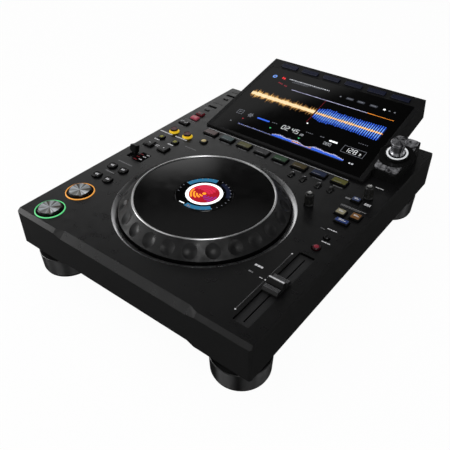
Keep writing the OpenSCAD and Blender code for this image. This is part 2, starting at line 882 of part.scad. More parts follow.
module play_button() {
    big_button(play_y, [0.3, 0.8, 0.4]);
}

module cue_button() {
    big_button(cue_y, [0.9, 0.5, 0.15]);
}

module hot_cue_key(i) {
    shades = [[0.6, 0.25, 0.2], [0.2, 0.5, 0.5], [0.5, 0.5, 0.25], [0.5, 0.5, 0.5]];
    square_key(hot_place(i), [hot_w, hot_d], shades[i % len(shades)]);
}

search_shade = [0.5, 0.5, 0.52];
jump_shade = [0.2, 0.2, 0.22];
loop_shade = [0.8, 0.65, 0.2];

module search_button(i) {
    round_button(search_places[i], search_r, button_h, search_shade);
}

module jump_key(i) {
    square_key(jump_places[i], [jump_w, jump_d], jump_shade);
}

module small_loop_button(i) {
    round_button(small_loop_places[i], small_loop_r, button_h, loop_shade);
}

module loop_button(i) {
    ringed_button(loop_places[i], loop_r, loop_ring_w, 1.2, 1, loop_h, loop_shade);
}

module reloop_button() {
    round_button(reloop_place, reloop_r, button_h, [0.7, 0.65, 0.5]);
}

module beat_loop_key() {
    square_key(beat_loop_place, beat_loop_size, jump_shade);
}

module slip_key() {
    square_key(slip_place, red_key_size, [0.6, 0.25, 0.28]);
}

module quantize_key() {
    square_key(quantize_place, red_key_size, [0.4, 0.2, 0.22]);
}

module range_button() {
    round_button(range_place, range_r, button_h, [0.15, 0.15, 0.16]);
}

module reset_button() {
    round_button(reset_place, reset_r, button_h, [0.5, 0.1, 0.15]);
}

module function_keys() {
    for (k = square_keys) square_key(k[0], k[1], [0.4, 0.45, 0.55]);
    for (p = tiny_keys) round_button(p, tiny_r, button_h / 2, [0.25, 0.25, 0.28]);
    for (y = usb_places) {
        color([0.1, 0.1, 0.1]) deck() translate([usb_x, y + stop_key_step, 0])
            key_cap(stop_key_size[0], stop_key_size[1], key_h / 2);
    }
}

// ---------------------------------------------------------------- turning knobs

module turning_knob(place) {
    color([0.12, 0.12, 0.13]) deck() translate([place[0], place[1], 0]) {
        difference() {
            rotate_extrude() polygon([
                [0, -key_board_z + free_gap],
                [shaft_r, -key_board_z + free_gap],
                [shaft_r, free_gap],
                [knob_r + 0.5, free_gap],
                [knob_r + 0.5, 2],
                [knob_r, 3],
                [knob_r - 0.3, knob_h - 2.4],
                [knob_r - 1, knob_h - 0.8],
                [knob_r - 2.2, knob_h],
                [0, knob_h]
            ]);
            translate([-0.4, 0, knob_h - 0.6]) cube([0.8, 2 * knob_r, over]);
        }
    }
}

// ---------------------------------------------------------------- direction lever

module direction_lever() {
    color([0.1, 0.12, 0.11]) deck()
        translate([lever_x, lever_y, -lever_pivot_z]) rotate([-lever_lean, 0, 0]) {
            cap_z = lever_l - lever_cap_l;
            translate([-lever_stem[0] / 2, -lever_stem[1] / 2, 0])
                cube([lever_stem[0], lever_stem[1], cap_z + 0.5]);
            intersection() {
                translate([0, 0, cap_z]) linear_extrude(lever_cap_l)
                    rounded_rect(lever_cap_size[0], lever_cap_size[1], key_corner);
                along_x(-lever_cap_size[0], lever_cap_size[0]) polygon([
                    [-lever_cap_size[1] / 2, cap_z],
                    [lever_cap_size[1] / 2, cap_z],
                    [lever_cap_size[1] / 2 - 0.4, lever_l - 1],
                    [lever_cap_size[1] / 2 - 1.2, lever_l],
                    [-lever_cap_size[1] / 2 + 1.2, lever_l],
                    [-lever_cap_size[1] / 2 + 0.4, lever_l - 1]
                ]);
            }
            rotate([0, 90, 0]) {
                pin_l = lever_stem[0] + 2 * (free_gap + ear_t);
                translate([0, 0, -pin_l / 2]) cylinder(r = lever_pin_r, h = pin_l);
                translate([0, 0, -lever_stem[0] / 2]) cylinder(r = lever_hub_r, h = lever_stem[0]);
            }
        }
}

// ---------------------------------------------------------------- tempo slider

module fader_unit() {
    plate_w = recess_w + 2 * plate_margin;
    plate_l = recess_l + 2 * plate_margin;
    body_l = 2 * fader_travel + carriage_l + 6;
    slot_l = 2 * fader_travel + carriage_l + 1;
    color([0.2, 0.2, 0.21]) deck() translate([fader_x, fader_y, -deck_t]) difference() {
        union() {
            translate([-plate_w / 2, -plate_l / 2, -sheet_t]) cube([plate_w, plate_l, sheet_t]);
            translate([-fader_body_w / 2, -body_l / 2, -sheet_t - fader_body_h])
                cube([fader_body_w, body_l, fader_body_h + sheet_t / 2]);
        }
        translate([-slit_w / 2, -slot_l / 2, -sheet_t - over])
            cube([slit_w, slot_l, sheet_t + 2 * over]);
        translate([-carriage_w / 2 - seat_gap, -slot_l / 2, -sheet_t - fader_body_h + 2])
            cube([carriage_w + 2 * seat_gap, slot_l, fader_body_h - 2]);
    }
}

module fader_cap() {
    top_y = 1.7;
    shoulder_z = 0.52 * fader_cap_h;
    valley_z = 0.3 * fader_cap_h;
    end_y = fader_cap_l / 2;
    color([0.14, 0.14, 0.15]) deck() translate([fader_x, fader_y, 0]) {
        difference() {
            along_x(-fader_cap_w / 2, fader_cap_w / 2) polygon([
                [-end_y, 0.8],
                [end_y, 0.8],
                [end_y, 2.5],
                [end_y - 2.5, shoulder_z],
                [end_y - 6.5, shoulder_z],
                [top_y + 2, valley_z],
                [top_y, fader_cap_h],
                [-top_y, fader_cap_h],
                [-top_y - 2, valley_z],
                [-end_y + 6.5, shoulder_z],
                [-end_y + 2.5, shoulder_z],
                [-end_y, 2.5]
            ]);
            for (side = [-1, 1], i = [0 : 2]) {
                translate([-fader_cap_w, side * (end_y - 5.6 + 1.2 * i) - 0.3, shoulder_z - 0.9])
                    cube([2 * fader_cap_w, 0.6, 2]);
            }
        }
        blade_w = slit_w - 2 * seat_gap;
        translate([-blade_w / 2, -carriage_l / 2, -deck_t - sheet_t - 1])
            cube([blade_w, carriage_l, deck_t + sheet_t + 2.5]);
        translate([-carriage_w / 2, -carriage_l / 2, -deck_t - sheet_t - 7])
            cube([carriage_w, carriage_l, 6.5]);
    }
}

// ---------------------------------------------------------------- jog wheel

module at_jog() {
    deck() translate([jog_x, jog_y, 0]) children();
}

module jog_bezel() {
    color([0.75, 0.75, 0.76]) at_jog() rotate_extrude() polygon([
        [dish_r, -bezel_depth],
        [bezel_r - 0.1, 0],
        [bezel_r - 0.1, -deck_t],
        [flange_r, -deck_t],
        [flange_r, -deck_t - flange_t],
        [dish_r + dish_wall + 1.5, -deck_t - flange_t],
        [dish_r + dish_wall, -bezel_depth],
        [dish_r + dish_wall, -bezel_depth - 4],
        [dish_r, -bezel_depth - 4]
    ]);
}

module jog_base() {
    pillar_r = 2.5;
    pillar_place = flange_r - pillar_r - 0.5;
    color([0.35, 0.35, 0.36]) at_jog() {
        difference() {
            rod(flange_r, pan_z, pan_z + pan_t);
            rod(4, pan_z - over, pan_z + pan_t + over);
            for (a = [0 : 60 : 300]) {
                rotate(a + 30) translate([0.54 * flange_r, 0, 0]) rod(0.125 * flange_r, pan_z - over, 0);
            }
        }
        for (a = [0 : 60 : 300]) rotate(a) translate([pillar_place, 0, 0])
            rod(pillar_r, pan_z + pan_t / 2, -deck_t - flange_t);
    }
}

module jog_post() {
    color([0.6, 0.6, 0.62]) at_jog() {
        pipe(20, spindle_r - 3, pan_z + pan_t, pan_z + pan_t + 3);
        pipe(spindle_r, spindle_r - 3, pan_z + pan_t, centre_bottom);
    }
}

module jog_bearings() {
    color([0.7, 0.7, 0.72]) at_jog() for (z = bearing_places) {
        pipe(bearing_r, spindle_r + 0.02, z, z + bearing_h);
    }
}

module jog_display() {
    color([0.05, 0.05, 0.06]) at_jog() rotate_extrude() polygon([
        [0, centre_bottom],
        [centre_r - 2, centre_bottom],
        [centre_r, centre_bottom + 2],
        [centre_r, centre_top - 0.4],
        [centre_r - 0.4, centre_top],
        [0, centre_top]
    ]);
}

module jog_ring() {
    wall_r = 5;
    hub_r = bearing_r + hub_wall;
    web_top = web_z + web_t;
    slope_mid_r = (jog_r + rim_r) / 2 + 0.5;
    slope_mid_z = ring_low_z + (jog_r - slope_mid_r) * ring_slope;
    slope_angle = atan(ring_slope);
    ball_out = sqrt(dimple_ball_r * dimple_ball_r - dimple_r * dimple_r);
    color([0.14, 0.14, 0.15]) at_jog() difference() {
        rotate_extrude() polygon([
            [jog_r, ring_low_z],
            [rim_r, rim_top_z - 0.7],
            [rim_r, rim_seat_z],
            [rim_r - rim_w - 4, rim_seat_z],
            [rim_r - rim_w - 4, web_top],
            [centre_r + 5.5, web_top],
            [centre_r + 5.5, rim_seat_z - plate_t + 1.8],
            [centre_r + 2, rim_seat_z - plate_t + 1.8],
            [centre_r + 2, web_top],
            [bearing_r + run_gap, web_top],
            [bearing_r + run_gap, hub_bottom],
            [hub_r, hub_bottom],
            [hub_r, web_z],
            [jog_r - wall_r - (web_z - ring_low_z) / ring_slope, web_z],
            [jog_r - wall_r, ring_low_z],
            [jog_r - wall_r, ring_low_z - jog_skirt],
            [jog_r, ring_low_z - jog_skirt]
        ]);
        for (i = [0 : dimples - 1]) {
            rotate(i * 360 / dimples)
                translate([
                    slope_mid_r + ball_out * sin(slope_angle),
                    0,
                    slope_mid_z + ball_out * cos(slope_angle)
                ])
                sphere(r = dimple_ball_r);
        }
    }
}

module jog_rim() {
    rim_in = rim_r - rim_w;
    color([0.85, 0.85, 0.86]) at_jog() rotate_extrude() polygon([
        [rim_in, rim_seat_z],
        [rim_r - 0.05, rim_seat_z],
        [rim_r - 0.05, rim_top_z - 0.6],
        [rim_r - 0.6, rim_top_z],
        [rim_in + 0.9, rim_top_z],
        [rim_in, rim_top_z - 0.9]
    ]);
}

module jog_plate() {
    plate_z = rim_seat_z - plate_t + 1.8;
    color([0.03, 0.03, 0.03]) at_jog() difference() {
        union() {
            pipe(rim_r - rim_w - 0.1, centre_r + 0.6, rim_seat_z, rim_seat_z + plate_t);
            pipe(centre_r + 5.5, centre_r + 2, plate_z, rim_seat_z + plate_t / 2);
        }
    }
}

// ---------------------------------------------------------------- display

// Frame of the screen: X across, Y up the slope, Z out of the glass
module screen() {
    deck() translate([display_x, display_front, display_rise])
        rotate([display_tilt, 0, 0]) children();
}

module screen_box(w, u0, u1, z0, z1) {
    translate([-w / 2, u0, z0]) cube([w, u1 - u0, z1 - z0]);
}

// The space over the deck and behind the case
module housing_room() {
    deck() {
        translate([-body_w, 0, 0]) cube([2 * body_w, 2 * body_d, body_w]);
        translate([-body_w, body_d + seat_gap, -body_w]) cube([2 * body_w, body_d, body_w + over]);
    }
}

module display_housing() {
    ledge_w = glass_w - 2 * glass_ledge;
    color([0.1, 0.1, 0.11]) difference() {
        intersection() {
            screen() difference() {
                screen_box(display_w, 0, display_l, -display_t, 0);
                screen_box(display_w - 2 * shell_t, shell_t, display_l - shell_t,
                    -display_t - over, -shell_t);
            }
            housing_room();
        }
        screen() {
            screen_box(glass_w + 2 * seat_gap, glass_front - seat_gap,
                glass_front + glass_l + seat_gap, -glass_t, over);
            screen_box(ledge_w, glass_front + glass_ledge, glass_front + glass_l - glass_ledge,
                -shell_t - over, over);
            for (i = [0 : soft_key_count - 1]) translate([soft_key_x(i), soft_key_u, 0])
                translate([0, 0, -shell_t - over]) linear_extrude(shell_t + 2 * over)
                    rounded_rect(soft_key_w + 2 * key_gap, soft_key_d + 2 * key_gap, key_corner);
        }
    }
}

function soft_key_x(i) = soft_key_shift + (i - (soft_key_count - 1) / 2) * soft_key_pitch;

module display_cover() {
    color([0.12, 0.12, 0.13]) screen() difference() {
        screen_box(display_w - 2 * shell_t - 2 * seat_gap, body_back_u,
            display_l - shell_t - seat_gap, -display_t, -display_t + shell_t);
        for (i = [-6 : 6]) {
            translate([i * 14 - 4, body_back_u + 22, -display_t - over])
                cube([8, 2.5, shell_t + 2 * over]);
        }
    }
}

module display_glass() {
    color([0.02, 0.02, 0.03]) screen()
        translate([0, glass_front + glass_l / 2, -glass_t])
            linear_extrude(glass_t) rounded_rect(glass_w, glass_l, key_corner);
}

module lcd_module() {
    color([0.3, 0.35, 0.45]) screen()
        screen_box(glass_w - 2 * glass_ledge - 2 * seat_gap, glass_front + glass_ledge + seat_gap,
            glass_front + glass_l - glass_ledge - seat_gap, -glass_t - lcd_t, -glass_t - run_gap);
}

module display_keys() {
    strip_l = soft_key_count * soft_key_pitch;
    color([0.2, 0.22, 0.3]) screen() {
        for (i = [0 : soft_key_count - 1]) translate([soft_key_x(i), soft_key_u, 0])
            intersection() {
                translate([0, 0, -shell_t - 1.2]) linear_extrude(shell_t + 1.2 + soft_key_h)
                    rounded_rect(soft_key_w, soft_key_d, key_corner);
                along_x(-soft_key_w, soft_key_w) polygon([
                    [-soft_key_d / 2, -display_t],
                    [soft_key_d / 2, -display_t],
                    [soft_key_d / 2, soft_key_h - key_chamfer],
                    [soft_key_d / 2 - key_chamfer, soft_key_h],
                    [-soft_key_d / 2 + key_chamfer, soft_key_h],
                    [-soft_key_d / 2, soft_key_h - key_chamfer]
                ]);
            }
        translate([soft_key_shift - strip_l / 2, soft_key_u - 5.5, -shell_t - 2])
            cube([strip_l, 11, 1.8]);
    }
}

// ---------------------------------------------------------------- selector

// Frame of the selector's sloping top, centred on its knob
module selector_top() {
    deck() translate([block_mid_x, block_mid_y, block_top_mid])
        rotate([display_tilt, 0, 0]) children();
}

module block_profile(inset, drop) {
    rise = (block_l - 2 * inset) * tan(display_tilt);
    low = block_h + inset * tan(display_tilt) - drop;
    polygon([
        [block_y + inset, -over],
        [block_y + inset, low],
        [block_y + block_l - inset, low + rise],
        [block_y + block_l - inset, -over]
    ]);
}

module selector_block() {
    color([0.05, 0.05, 0.055]) {
        difference() {
            deck() difference() {
                intersection() {
                    along_x(block_x, block_x + block_w) block_profile(0, 0);
                    translate([block_mid_x, block_mid_y, 0])
                        linear_extrude(body_h) rounded_rect(block_w, block_l, 2);
                }
                along_x(block_x + block_wall, block_x + block_w - block_wall)
                    block_profile(block_wall, block_wall);
            }
            selector_top() rod(shaft_r + run_gap, -body_h, over);
        }
        selector_top() {
            pipe(shaft_r + 2.5, shaft_r + run_gap, -bush_l, -block_wall / 2);
            pipe(base_ring_r, selector_r + 1, -block_wall / 2, base_ring_h);
            pipe(collar_r, selector_r + 1, base_ring_h / 2, base_ring_h + collar_h);
        }
    }
}

module selector_pads() {
    slope_l = block_l / cos(display_tilt);
    pad_w = (block_w - 2.4) / 2;
    color([0.55, 0.55, 0.57]) selector_top() difference() {
        intersection() {
            for (sx = [-1, 1], sy = [-1, 1]) {
                translate([sx * (pad_w / 2 + 0.4), sy * (slope_l / 4 + 1.5), 0])
                    linear_extrude(pad_top) rounded_rect(pad_w, slope_l / 2 - 5, 1.5);
            }
            linear_extrude(pad_top) rounded_rect(block_w - 1.6, slope_l - 2, 4.5);
        }
        translate([0, -pad_clear_shift, 0]) rod(pad_clear_r, -over, pad_top + over);
    }
}

selector_low = base_ring_h + collar_h + selector_travel + free_gap;

module selector_shaft() {
    color([0.6, 0.6, 0.62]) selector_top() {
        rod(shaft_r, -bush_l - 1, selector_low + selector_h - 4);
        rod(shaft_r + 2, selector_low - 0.8, selector_low - 0.1);
    }
}

module selector_knob() {
    color([0.45, 0.45, 0.46]) selector_top() difference() {
        rotate_extrude() polygon([
            [0, selector_low],
            [selector_r + 0.3, selector_low],
            [selector_r + 0.3, selector_low + 2],
            [selector_r - 0.6, selector_low + 3.5],
            [selector_r - 0.6, selector_low + selector_h - 4],
            [selector_r, selector_low + selector_h - 2.5],
            [selector_r, selector_low + selector_h - 0.8],
            [selector_r - 0.8, selector_low + selector_h],
            [0, selector_low + selector_h]
        ]);
        rod(shaft_r + run_gap, selector_low - over, selector_low + selector_h - 4 + free_gap);
    }
}

// ---------------------------------------------------------------- sockets and switch

module usb_sockets() {
    inner_w = usb_w - 2.4;
    inner_d = usb_d - 0.2;
    color([0.6, 0.6, 0.62]) deck() for (y = usb_places) translate([usb_x, y, 0]) {
        difference() {
            translate([-usb_w / 2 - usb_frame, -usb_d / 2 - usb_frame, -usb_shell_z - usb_shell_l])
                cube([usb_w + 2 * usb_frame, usb_d + 2 * usb_frame, usb_shell_l + usb_shell_z - deck_t]);
            translate([-inner_w / 2, -inner_d / 2, -usb_shell_z - usb_shell_l + 2])
                cube([inner_w, inner_d, usb_shell_l + usb_shell_z]);
        }
        translate([-inner_w / 2 + usb_shell_t, -0.9, -usb_shell_z - usb_shell_l + 1])
            cube([inner_w - 2 * usb_shell_t, 1.8, usb_shell_l - 2]);
    }
}

// Puts a drawing of X and Z on the rear panel, extruded backwards
module on_panel(x, y0, y1) {
    translate([x, 0, socket_z]) along_y(y0, y1) children();
}

module rear_sockets() {
    face_y = panel_y + sheet_t;
    color([0.1, 0.1, 0.1]) deck() {
        difference() {
            union() {
                on_panel(inlet_x, face_y, face_y + 2) square([32, 24], center = true);
                on_panel(inlet_x, face_y - 24, face_y + 1) square(inlet_size, center = true);
            }
            on_panel(inlet_x, face_y - 18, face_y + 3) square([24.5, 16.5], center = true);
        }
        for (p = [[-7, 2], [7, 2], [0, -2.5]]) {
            on_panel(inlet_x + p[0], face_y - 19, face_y - 5)
                translate([0, -p[1]]) square([2, 4.5], center = true);
        }
        difference() {
            union() {
                on_panel(lan_x, face_y, face_y + 1.2) square([20, 18], center = true);
                on_panel(lan_x, face_y - 20, face_y + 1) square(lan_size, center = true);
            }
            on_panel(lan_x, face_y - 13, face_y + 2) square([12, 8.5], center = true);
        }
        difference() {
            union() {
                on_panel(switch_x, face_y, face_y + 1.5)
                    square([switch_size[0] + 6, switch_size[1] + 6], center = true);
                on_panel(switch_x, face_y - 16, face_y + 1)
                    square([switch_size[0] + 2.8, switch_size[1] + 2.8], center = true);
            }
            on_panel(switch_x, face_y - 14, face_y + 2)
                square([switch_size[0] + 2 * free_gap, switch_size[1] + 2 * free_gap], center = true);
            translate([switch_x - switch_size[0] / 2 - 3, face_y - switch_pivot, socket_z])
                rotate([0, 90, 0]) cylinder(r = switch_pin_r + run_gap, h = switch_size[0] + 6);
        }
    }
    color([0.8, 0.8, 0.8]) deck() for (x = rca_places) difference() {
        union() {
            on_panel(x, face_y, face_y + 1) circle(7);
            on_panel(x, face_y - 8, face_y + rca_l) circle(rca_r);
        }
        on_panel(x, face_y - 6, face_y + rca_l + over) circle(rca_pin_r);
    }
}

module power_switch() {
    face_y = panel_y + sheet_t;
    half = switch_size[1] / 2;
    lift = half * tan(switch_tilt);
    color([0.08, 0.08, 0.08]) deck() translate([switch_x, face_y - switch_pivot, socket_z])
        rotate([switch_tilt, 0, 0]) {
            along_x(-switch_size[0] / 2, switch_size[0] / 2) polygon([
                [-3, -half * 0.55],
                [-3, half * 0.55],
                [switch_pivot + lift - 1.5, half * 0.93],
                [switch_pivot + 0.4, 0],
                [switch_pivot + lift - 1.5, -half * 0.93]
            ]);
            translate([-switch_size[0] / 2 - 1, 0, 0]) rotate([0, 90, 0])
                cylinder(r = switch_pin_r, h = switch_size[0] + 2);
        }
}

top_case();
chassis();
feet();
foot_pads();
screws();
main_board();
power_supply();
key_board();
rear_sockets();
usb_sockets();
jog_bezel();
jog_base();
jog_post();
jog_bearings();
jog_display();
jog_ring();
jog_rim();
jog_plate();
display_housing();
display_cover();
display_glass();
lcd_module();
display_keys();
selector_block();
selector_pads();
selector_shaft();
selector_knob();
fader_unit();
fader_cap();
direction_lever();
play_button();
cue_button();
search_button(0);  // search_button_1
search_button(1);  // search_button_2
search_button(2);  // search_button_3
search_button(3);  // search_button_4
jump_key(0);  // jump_key_back
jump_key(1);  // jump_key_forward
small_loop_button(0);  // loop_halve_button
small_loop_button(1);  // loop_double_button
loop_button(0);  // loop_in_button
loop_button(1);  // loop_out_button
reloop_button();
beat_loop_key();
slip_key();
quantize_key();
hot_cue_key(0);  // hot_cue_key_1
hot_cue_key(1);  // hot_cue_key_2
hot_cue_key(2);  // hot_cue_key_3
hot_cue_key(3);  // hot_cue_key_4
hot_cue_key(4);  // hot_cue_key_5
hot_cue_key(5);  // hot_cue_key_6
hot_cue_key(6);  // hot_cue_key_7
hot_cue_key(7);  // hot_cue_key_8
range_button();
reset_button();
turning_knob(knob_places[0]);  // jog_feel_knob
turning_knob(knob_places[1]);  // brake_knob
function_keys();
power_switch();
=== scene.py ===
from math import cos, radians, sin, tau
import random

import bmesh
import bpy
from mathutils import Matrix, Vector


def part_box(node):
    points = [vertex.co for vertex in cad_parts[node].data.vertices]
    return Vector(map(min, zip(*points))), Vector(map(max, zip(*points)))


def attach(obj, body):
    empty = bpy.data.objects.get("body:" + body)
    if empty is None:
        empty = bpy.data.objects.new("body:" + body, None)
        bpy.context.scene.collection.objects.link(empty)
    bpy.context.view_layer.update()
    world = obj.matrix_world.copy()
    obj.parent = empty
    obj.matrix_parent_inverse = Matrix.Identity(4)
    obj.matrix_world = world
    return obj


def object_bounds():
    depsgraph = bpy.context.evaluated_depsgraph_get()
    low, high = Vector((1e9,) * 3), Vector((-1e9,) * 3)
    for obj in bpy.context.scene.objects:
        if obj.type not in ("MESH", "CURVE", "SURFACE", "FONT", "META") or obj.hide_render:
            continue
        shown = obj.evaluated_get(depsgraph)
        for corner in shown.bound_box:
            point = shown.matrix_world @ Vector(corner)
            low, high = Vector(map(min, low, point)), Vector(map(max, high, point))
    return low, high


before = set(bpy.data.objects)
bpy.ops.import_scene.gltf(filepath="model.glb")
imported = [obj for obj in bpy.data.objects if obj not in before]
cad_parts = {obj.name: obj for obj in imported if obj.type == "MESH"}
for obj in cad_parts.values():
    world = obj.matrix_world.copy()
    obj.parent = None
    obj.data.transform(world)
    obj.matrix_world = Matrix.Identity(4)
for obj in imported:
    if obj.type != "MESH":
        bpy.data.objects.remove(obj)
cad_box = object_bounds()

# ---- places, in millimetres
MM = 0.001
SCREEN_FRONT = 285.5
SCREEN_RISE = 2.9
TILT = radians(13.0)
SELECTOR_TOP = (139.7, 339.0, 20.12)
KEY_TOP = 2.6

case_low, case_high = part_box("top_case")
DECK = Matrix.Translation((0.0, case_low.y, case_high.z)) @ Matrix.Scale(MM, 4)
SCREEN = DECK @ Matrix.Translation((0.0, SCREEN_FRONT, SCREEN_RISE)) @ Matrix.Rotation(TILT, 4, "X")
SELECTOR = DECK @ Matrix.Translation(SELECTOR_TOP) @ Matrix.Rotation(TILT, 4, "X")


def on(node, lift=0.0):
    """A place in millimetres with its origin on the middle of a node's top."""
    low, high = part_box(node)
    middle = (low + high) / 2
    return Matrix.Translation((middle.x, middle.y, high.z + lift * MM)) @ Matrix.Scale(MM, 4)


def at(x, y, z=0.0):
    """A place on the deck."""
    return DECK @ Matrix.Translation((x, y, z))


def size_of(node):
    """Width, depth and height of a node's box, in millimetres."""
    low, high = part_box(node)
    return (high - low) / MM


def middle_of(node):
    """The middle of a node in deck millimetres."""
    low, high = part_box(node)
    return DECK.inverted() @ ((low + high) / 2)


# ---- materials
def tone(red, green, blue):
    """A linear colour from display values 0 to 255."""
    shares = (v / 255 for v in (red, green, blue))
    return tuple(v / 12.92 if v <= 0.04045 else ((v + 0.055) / 1.055) ** 2.4 for v in shares)


def even(value):
    return (value, value, value)


def scaled(colour, by):
    return tuple(min(1.0, v * by) for v in colour)


class Nodes:
    """Short ways to build a node tree. A value is a number, a colour, a vector or another node's output."""

    def __init__(self, tree):
        self.tree = tree

    def set(self, node, values):
        for socket, value in values.items():
            if isinstance(value, bpy.types.NodeSocket):
                self.tree.links.new(value, node.inputs[socket])
            else:
                node.inputs[socket].default_value = value

    def node(self, kind, values=None, **settings):
        node = self.tree.nodes.new("ShaderNode" + kind)
        for key, value in settings.items():
            setattr(node, key, value)
        self.set(node, values or {})
        return node

    def maths(self, operation, *values):
        return self.node("Math", dict(enumerate(values)), operation=operation).outputs[0]

    def vector(self, operation, *values):
        return self.node("VectorMath", dict(enumerate(values)), operation=operation).outputs[0]

    def span(self, value, low, high, out_low, out_high, **settings):
        """Carries a value from one range to another."""
        return self.node("MapRange", {
            "Value": value, "From Min": low, "From Max": high, "To Min": out_low, "To Max": out_high,
        }, **settings).outputs["Result"]

    def parts(self, value):
        """The X, Y and Z of a vector."""
        node = self.node("SeparateXYZ", {0: value})
        return [node.outputs[k] for k in "XYZ"]

    def mix_shader(self, fac, one, two):
        return self.node("MixShader", {"Fac": fac, 1: one.outputs[0], 2: two.outputs[0]})


class Paint(Nodes):
    """One procedural material, built node by node."""

    def __init__(self, name, metal=0.0, level=0.5, turned=0.0):
        self.material = bpy.data.materials.new(name)
        self.material.use_nodes = True
        super().__init__(self.material.node_tree)
        self.shader = self.tree.nodes["Principled BSDF"]
        self.where = self.node("TexCoord")
        self.set(self.shader, {"Metallic": metal, "Specular IOR Level": level, "Anisotropic": turned})

    def noise(self, scale, detail, place=None):
        place = place or self.where.outputs["Object"]
        return self.node("TexNoise", {"Scale": scale, "Detail": detail, "Vector": place}).outputs["Fac"]

    def by_lean(self, low, high, out_low, out_high):
        """Carries how far a face looks up, which is 0 for an upright face, to another range."""
        facing = self.node("NewGeometry").outputs["Normal"]
        return self.span(self.parts(facing)[2], low, high, out_low, out_high)

    def blend(self, fac, one, two):
        """A colour between two others."""
        values = {"Factor": fac, "A": (*one, 1), "B": (*two, 1)}
        return self.node("Mix", values, data_type="RGBA").outputs["Result"]

    def bump(self, height, strength, depth, normal=None):
        values = {"Strength": strength, "Distance": depth * MM, "Height": height}
        if normal:
            values["Normal"] = normal
        return self.node("Bump", values).outputs["Normal"]

    def from_middle(self, level):
        """Places in the piece's box, counted from the middle of its plan at that level."""
        return self.vector("SUBTRACT", self.where.outputs["Generated"], (0.5, 0.5, level))

    def rings(self, scale):
        """Fine grooves round the middle of a turned piece."""
        values = {"Scale": scale, "Distortion": 0.3, "Detail": 2.0, "Vector": self.from_middle(0.0)}
        return self.node("TexWave", values, wave_type="RINGS", rings_direction="Z").outputs["Fac"]

    def fan(self):
        """Painted highlight: light and dark streaks from the middle of a turned piece outwards."""
        around = self.node("TexGradient", {"Vector": self.from_middle(0.5)}, gradient_type="RADIAL")
        values = {"Scale": 9.0, "Detail": 3.0, "W": around.outputs["Fac"]}
        streaks = self.node("TexNoise", values, noise_dimensions="1D")
        return self.span(streaks.outputs["Fac"], 0.38, 0.62, 0.0, 1.0)

    def round_tangent(self):
        tangent = self.node("Tangent", direction_type="RADIAL", axis="Z")
        self.set(self.shader, {"Tangent": tangent.outputs["Tangent"]})

    def done(self, colour, rough, normal):
        """Feeds the shader and gives the material."""
        self.set(self.shader, {"Base Color": colour, "Roughness": rough, "Normal": normal})
        return self.material


# Scale and detail of the slow patches in a colour and of the smears in its gloss
PATCH_NOISE = (26, 4)
GLOSS_NOISE = (75, 5)
# Depths in millimetres
GRAIN_DEEP = 0.05
GROOVE_DEEP = 0.03
BLOTCH_DEEP = 0.08


def shade(name, colour, rough, metal=0.0, level=0.5, grain=0.2, grain_size=0.5, patch=0.12, smear=0.05,
          glow=0.0, soft=0.25, turned=0.0, sides=None, grooves=0.0):
    """A moulded or metal surface: slow patches in its colour, smears in its gloss, fine grain, eased edges.
    sides is the roughness of upright faces, which are duller than the deck on a moulded piece."""
    paint = Paint(name, metal, level, turned)
    tint = paint.blend(paint.noise(*PATCH_NOISE), scaled(colour, 1 - patch), scaled(colour, 1 + patch))
    least, most = max(0.01, rough - smear), min(1.0, rough + smear)
    gloss = paint.span(paint.noise(*GLOSS_NOISE), 0.3, 0.7, least, most)
    if sides is not None:
        values = {"Factor": paint.by_lean(0.15, 0.6, 1.0, 0.0), "A": gloss, "B": sides}
        gloss = paint.node("Mix", values).outputs["Result"]
    eased = None
    if soft:
        eased = paint.node("Bevel", {"Radius": soft * MM}, samples=4).outputs["Normal"]
    normal = paint.bump(paint.noise(1 / (grain_size * MM), 2), grain, GRAIN_DEEP, eased)
    if grooves:
        normal = paint.bump(paint.rings(grooves), 0.25, GROOVE_DEEP, normal)
    if turned:
        paint.round_tangent()
    if glow:
        paint.set(paint.shader, {"Emission Color": (*colour, 1), "Emission Strength": glow})
    return paint.done(tint, gloss, normal)


def mottled(name, dark, light, size, rough):
    """Smoked plastic with blotches."""
    paint = Paint(name)
    blotch = paint.span(paint.noise(1 / (size * MM), 3), 0.35, 0.65, 0.0, 1.0)
    gloss = paint.span(blotch, 0, 1, rough - 0.08, rough + 0.08)
    return paint.done(paint.blend(blotch, dark, light), gloss, paint.bump(blotch, 0.3, BLOTCH_DEEP))


def turned_metal_painted_streaks(name, dark, light, rough):
    """A face turned on a lathe: fine grooves, and a painted highlight of light streaks that fan out from the
    middle.
    """
    paint = Paint(name, metal=0.85, turned=0.8)
    # Painted highlight: the streaks carry the colour from dark to light
    streaks = paint.fan()
    gloss = paint.span(streaks, 0, 1, rough + 0.08, rough - 0.08)
    paint.round_tangent()
    return paint.done(paint.blend(streaks, dark, light), gloss,
                      paint.bump(paint.rings(24), 0.2, GROOVE_DEEP))


def drum_painted_sheen_and_shade(name, dark, light):
    """Gunmetal drums with painted light in their colour: a painted sheen of light streaks that changes round
    them and stays the same from top to bottom, and painted shade on the faces that look up.
    """
    paint = Paint(name, metal=0.35)
    flat = paint.vector("MULTIPLY", paint.where.outputs["Object"], (1.0, 1.0, 0.0))
    # Painted sheen: light streaks round the drums in place of reflections
    across = paint.span(paint.noise(42.0, 1.5, flat), 0.36, 0.64, 0.0, 1.0)
    # Painted shade: faces that look up, the drums' tops under the case, take the dark colour
    painted_sheen_dark_tops = paint.maths("MULTIPLY", across, paint.by_lean(0.1, 0.4, 1.0, 0.05))
    gloss = paint.span(paint.noise(900, 3), 0.3, 0.7, 0.3, 0.42)
    return paint.done(paint.blend(painted_sheen_dark_tops, dark, light), gloss,
                      paint.bump(paint.noise(700, 2), 0.1, GRAIN_DEEP))


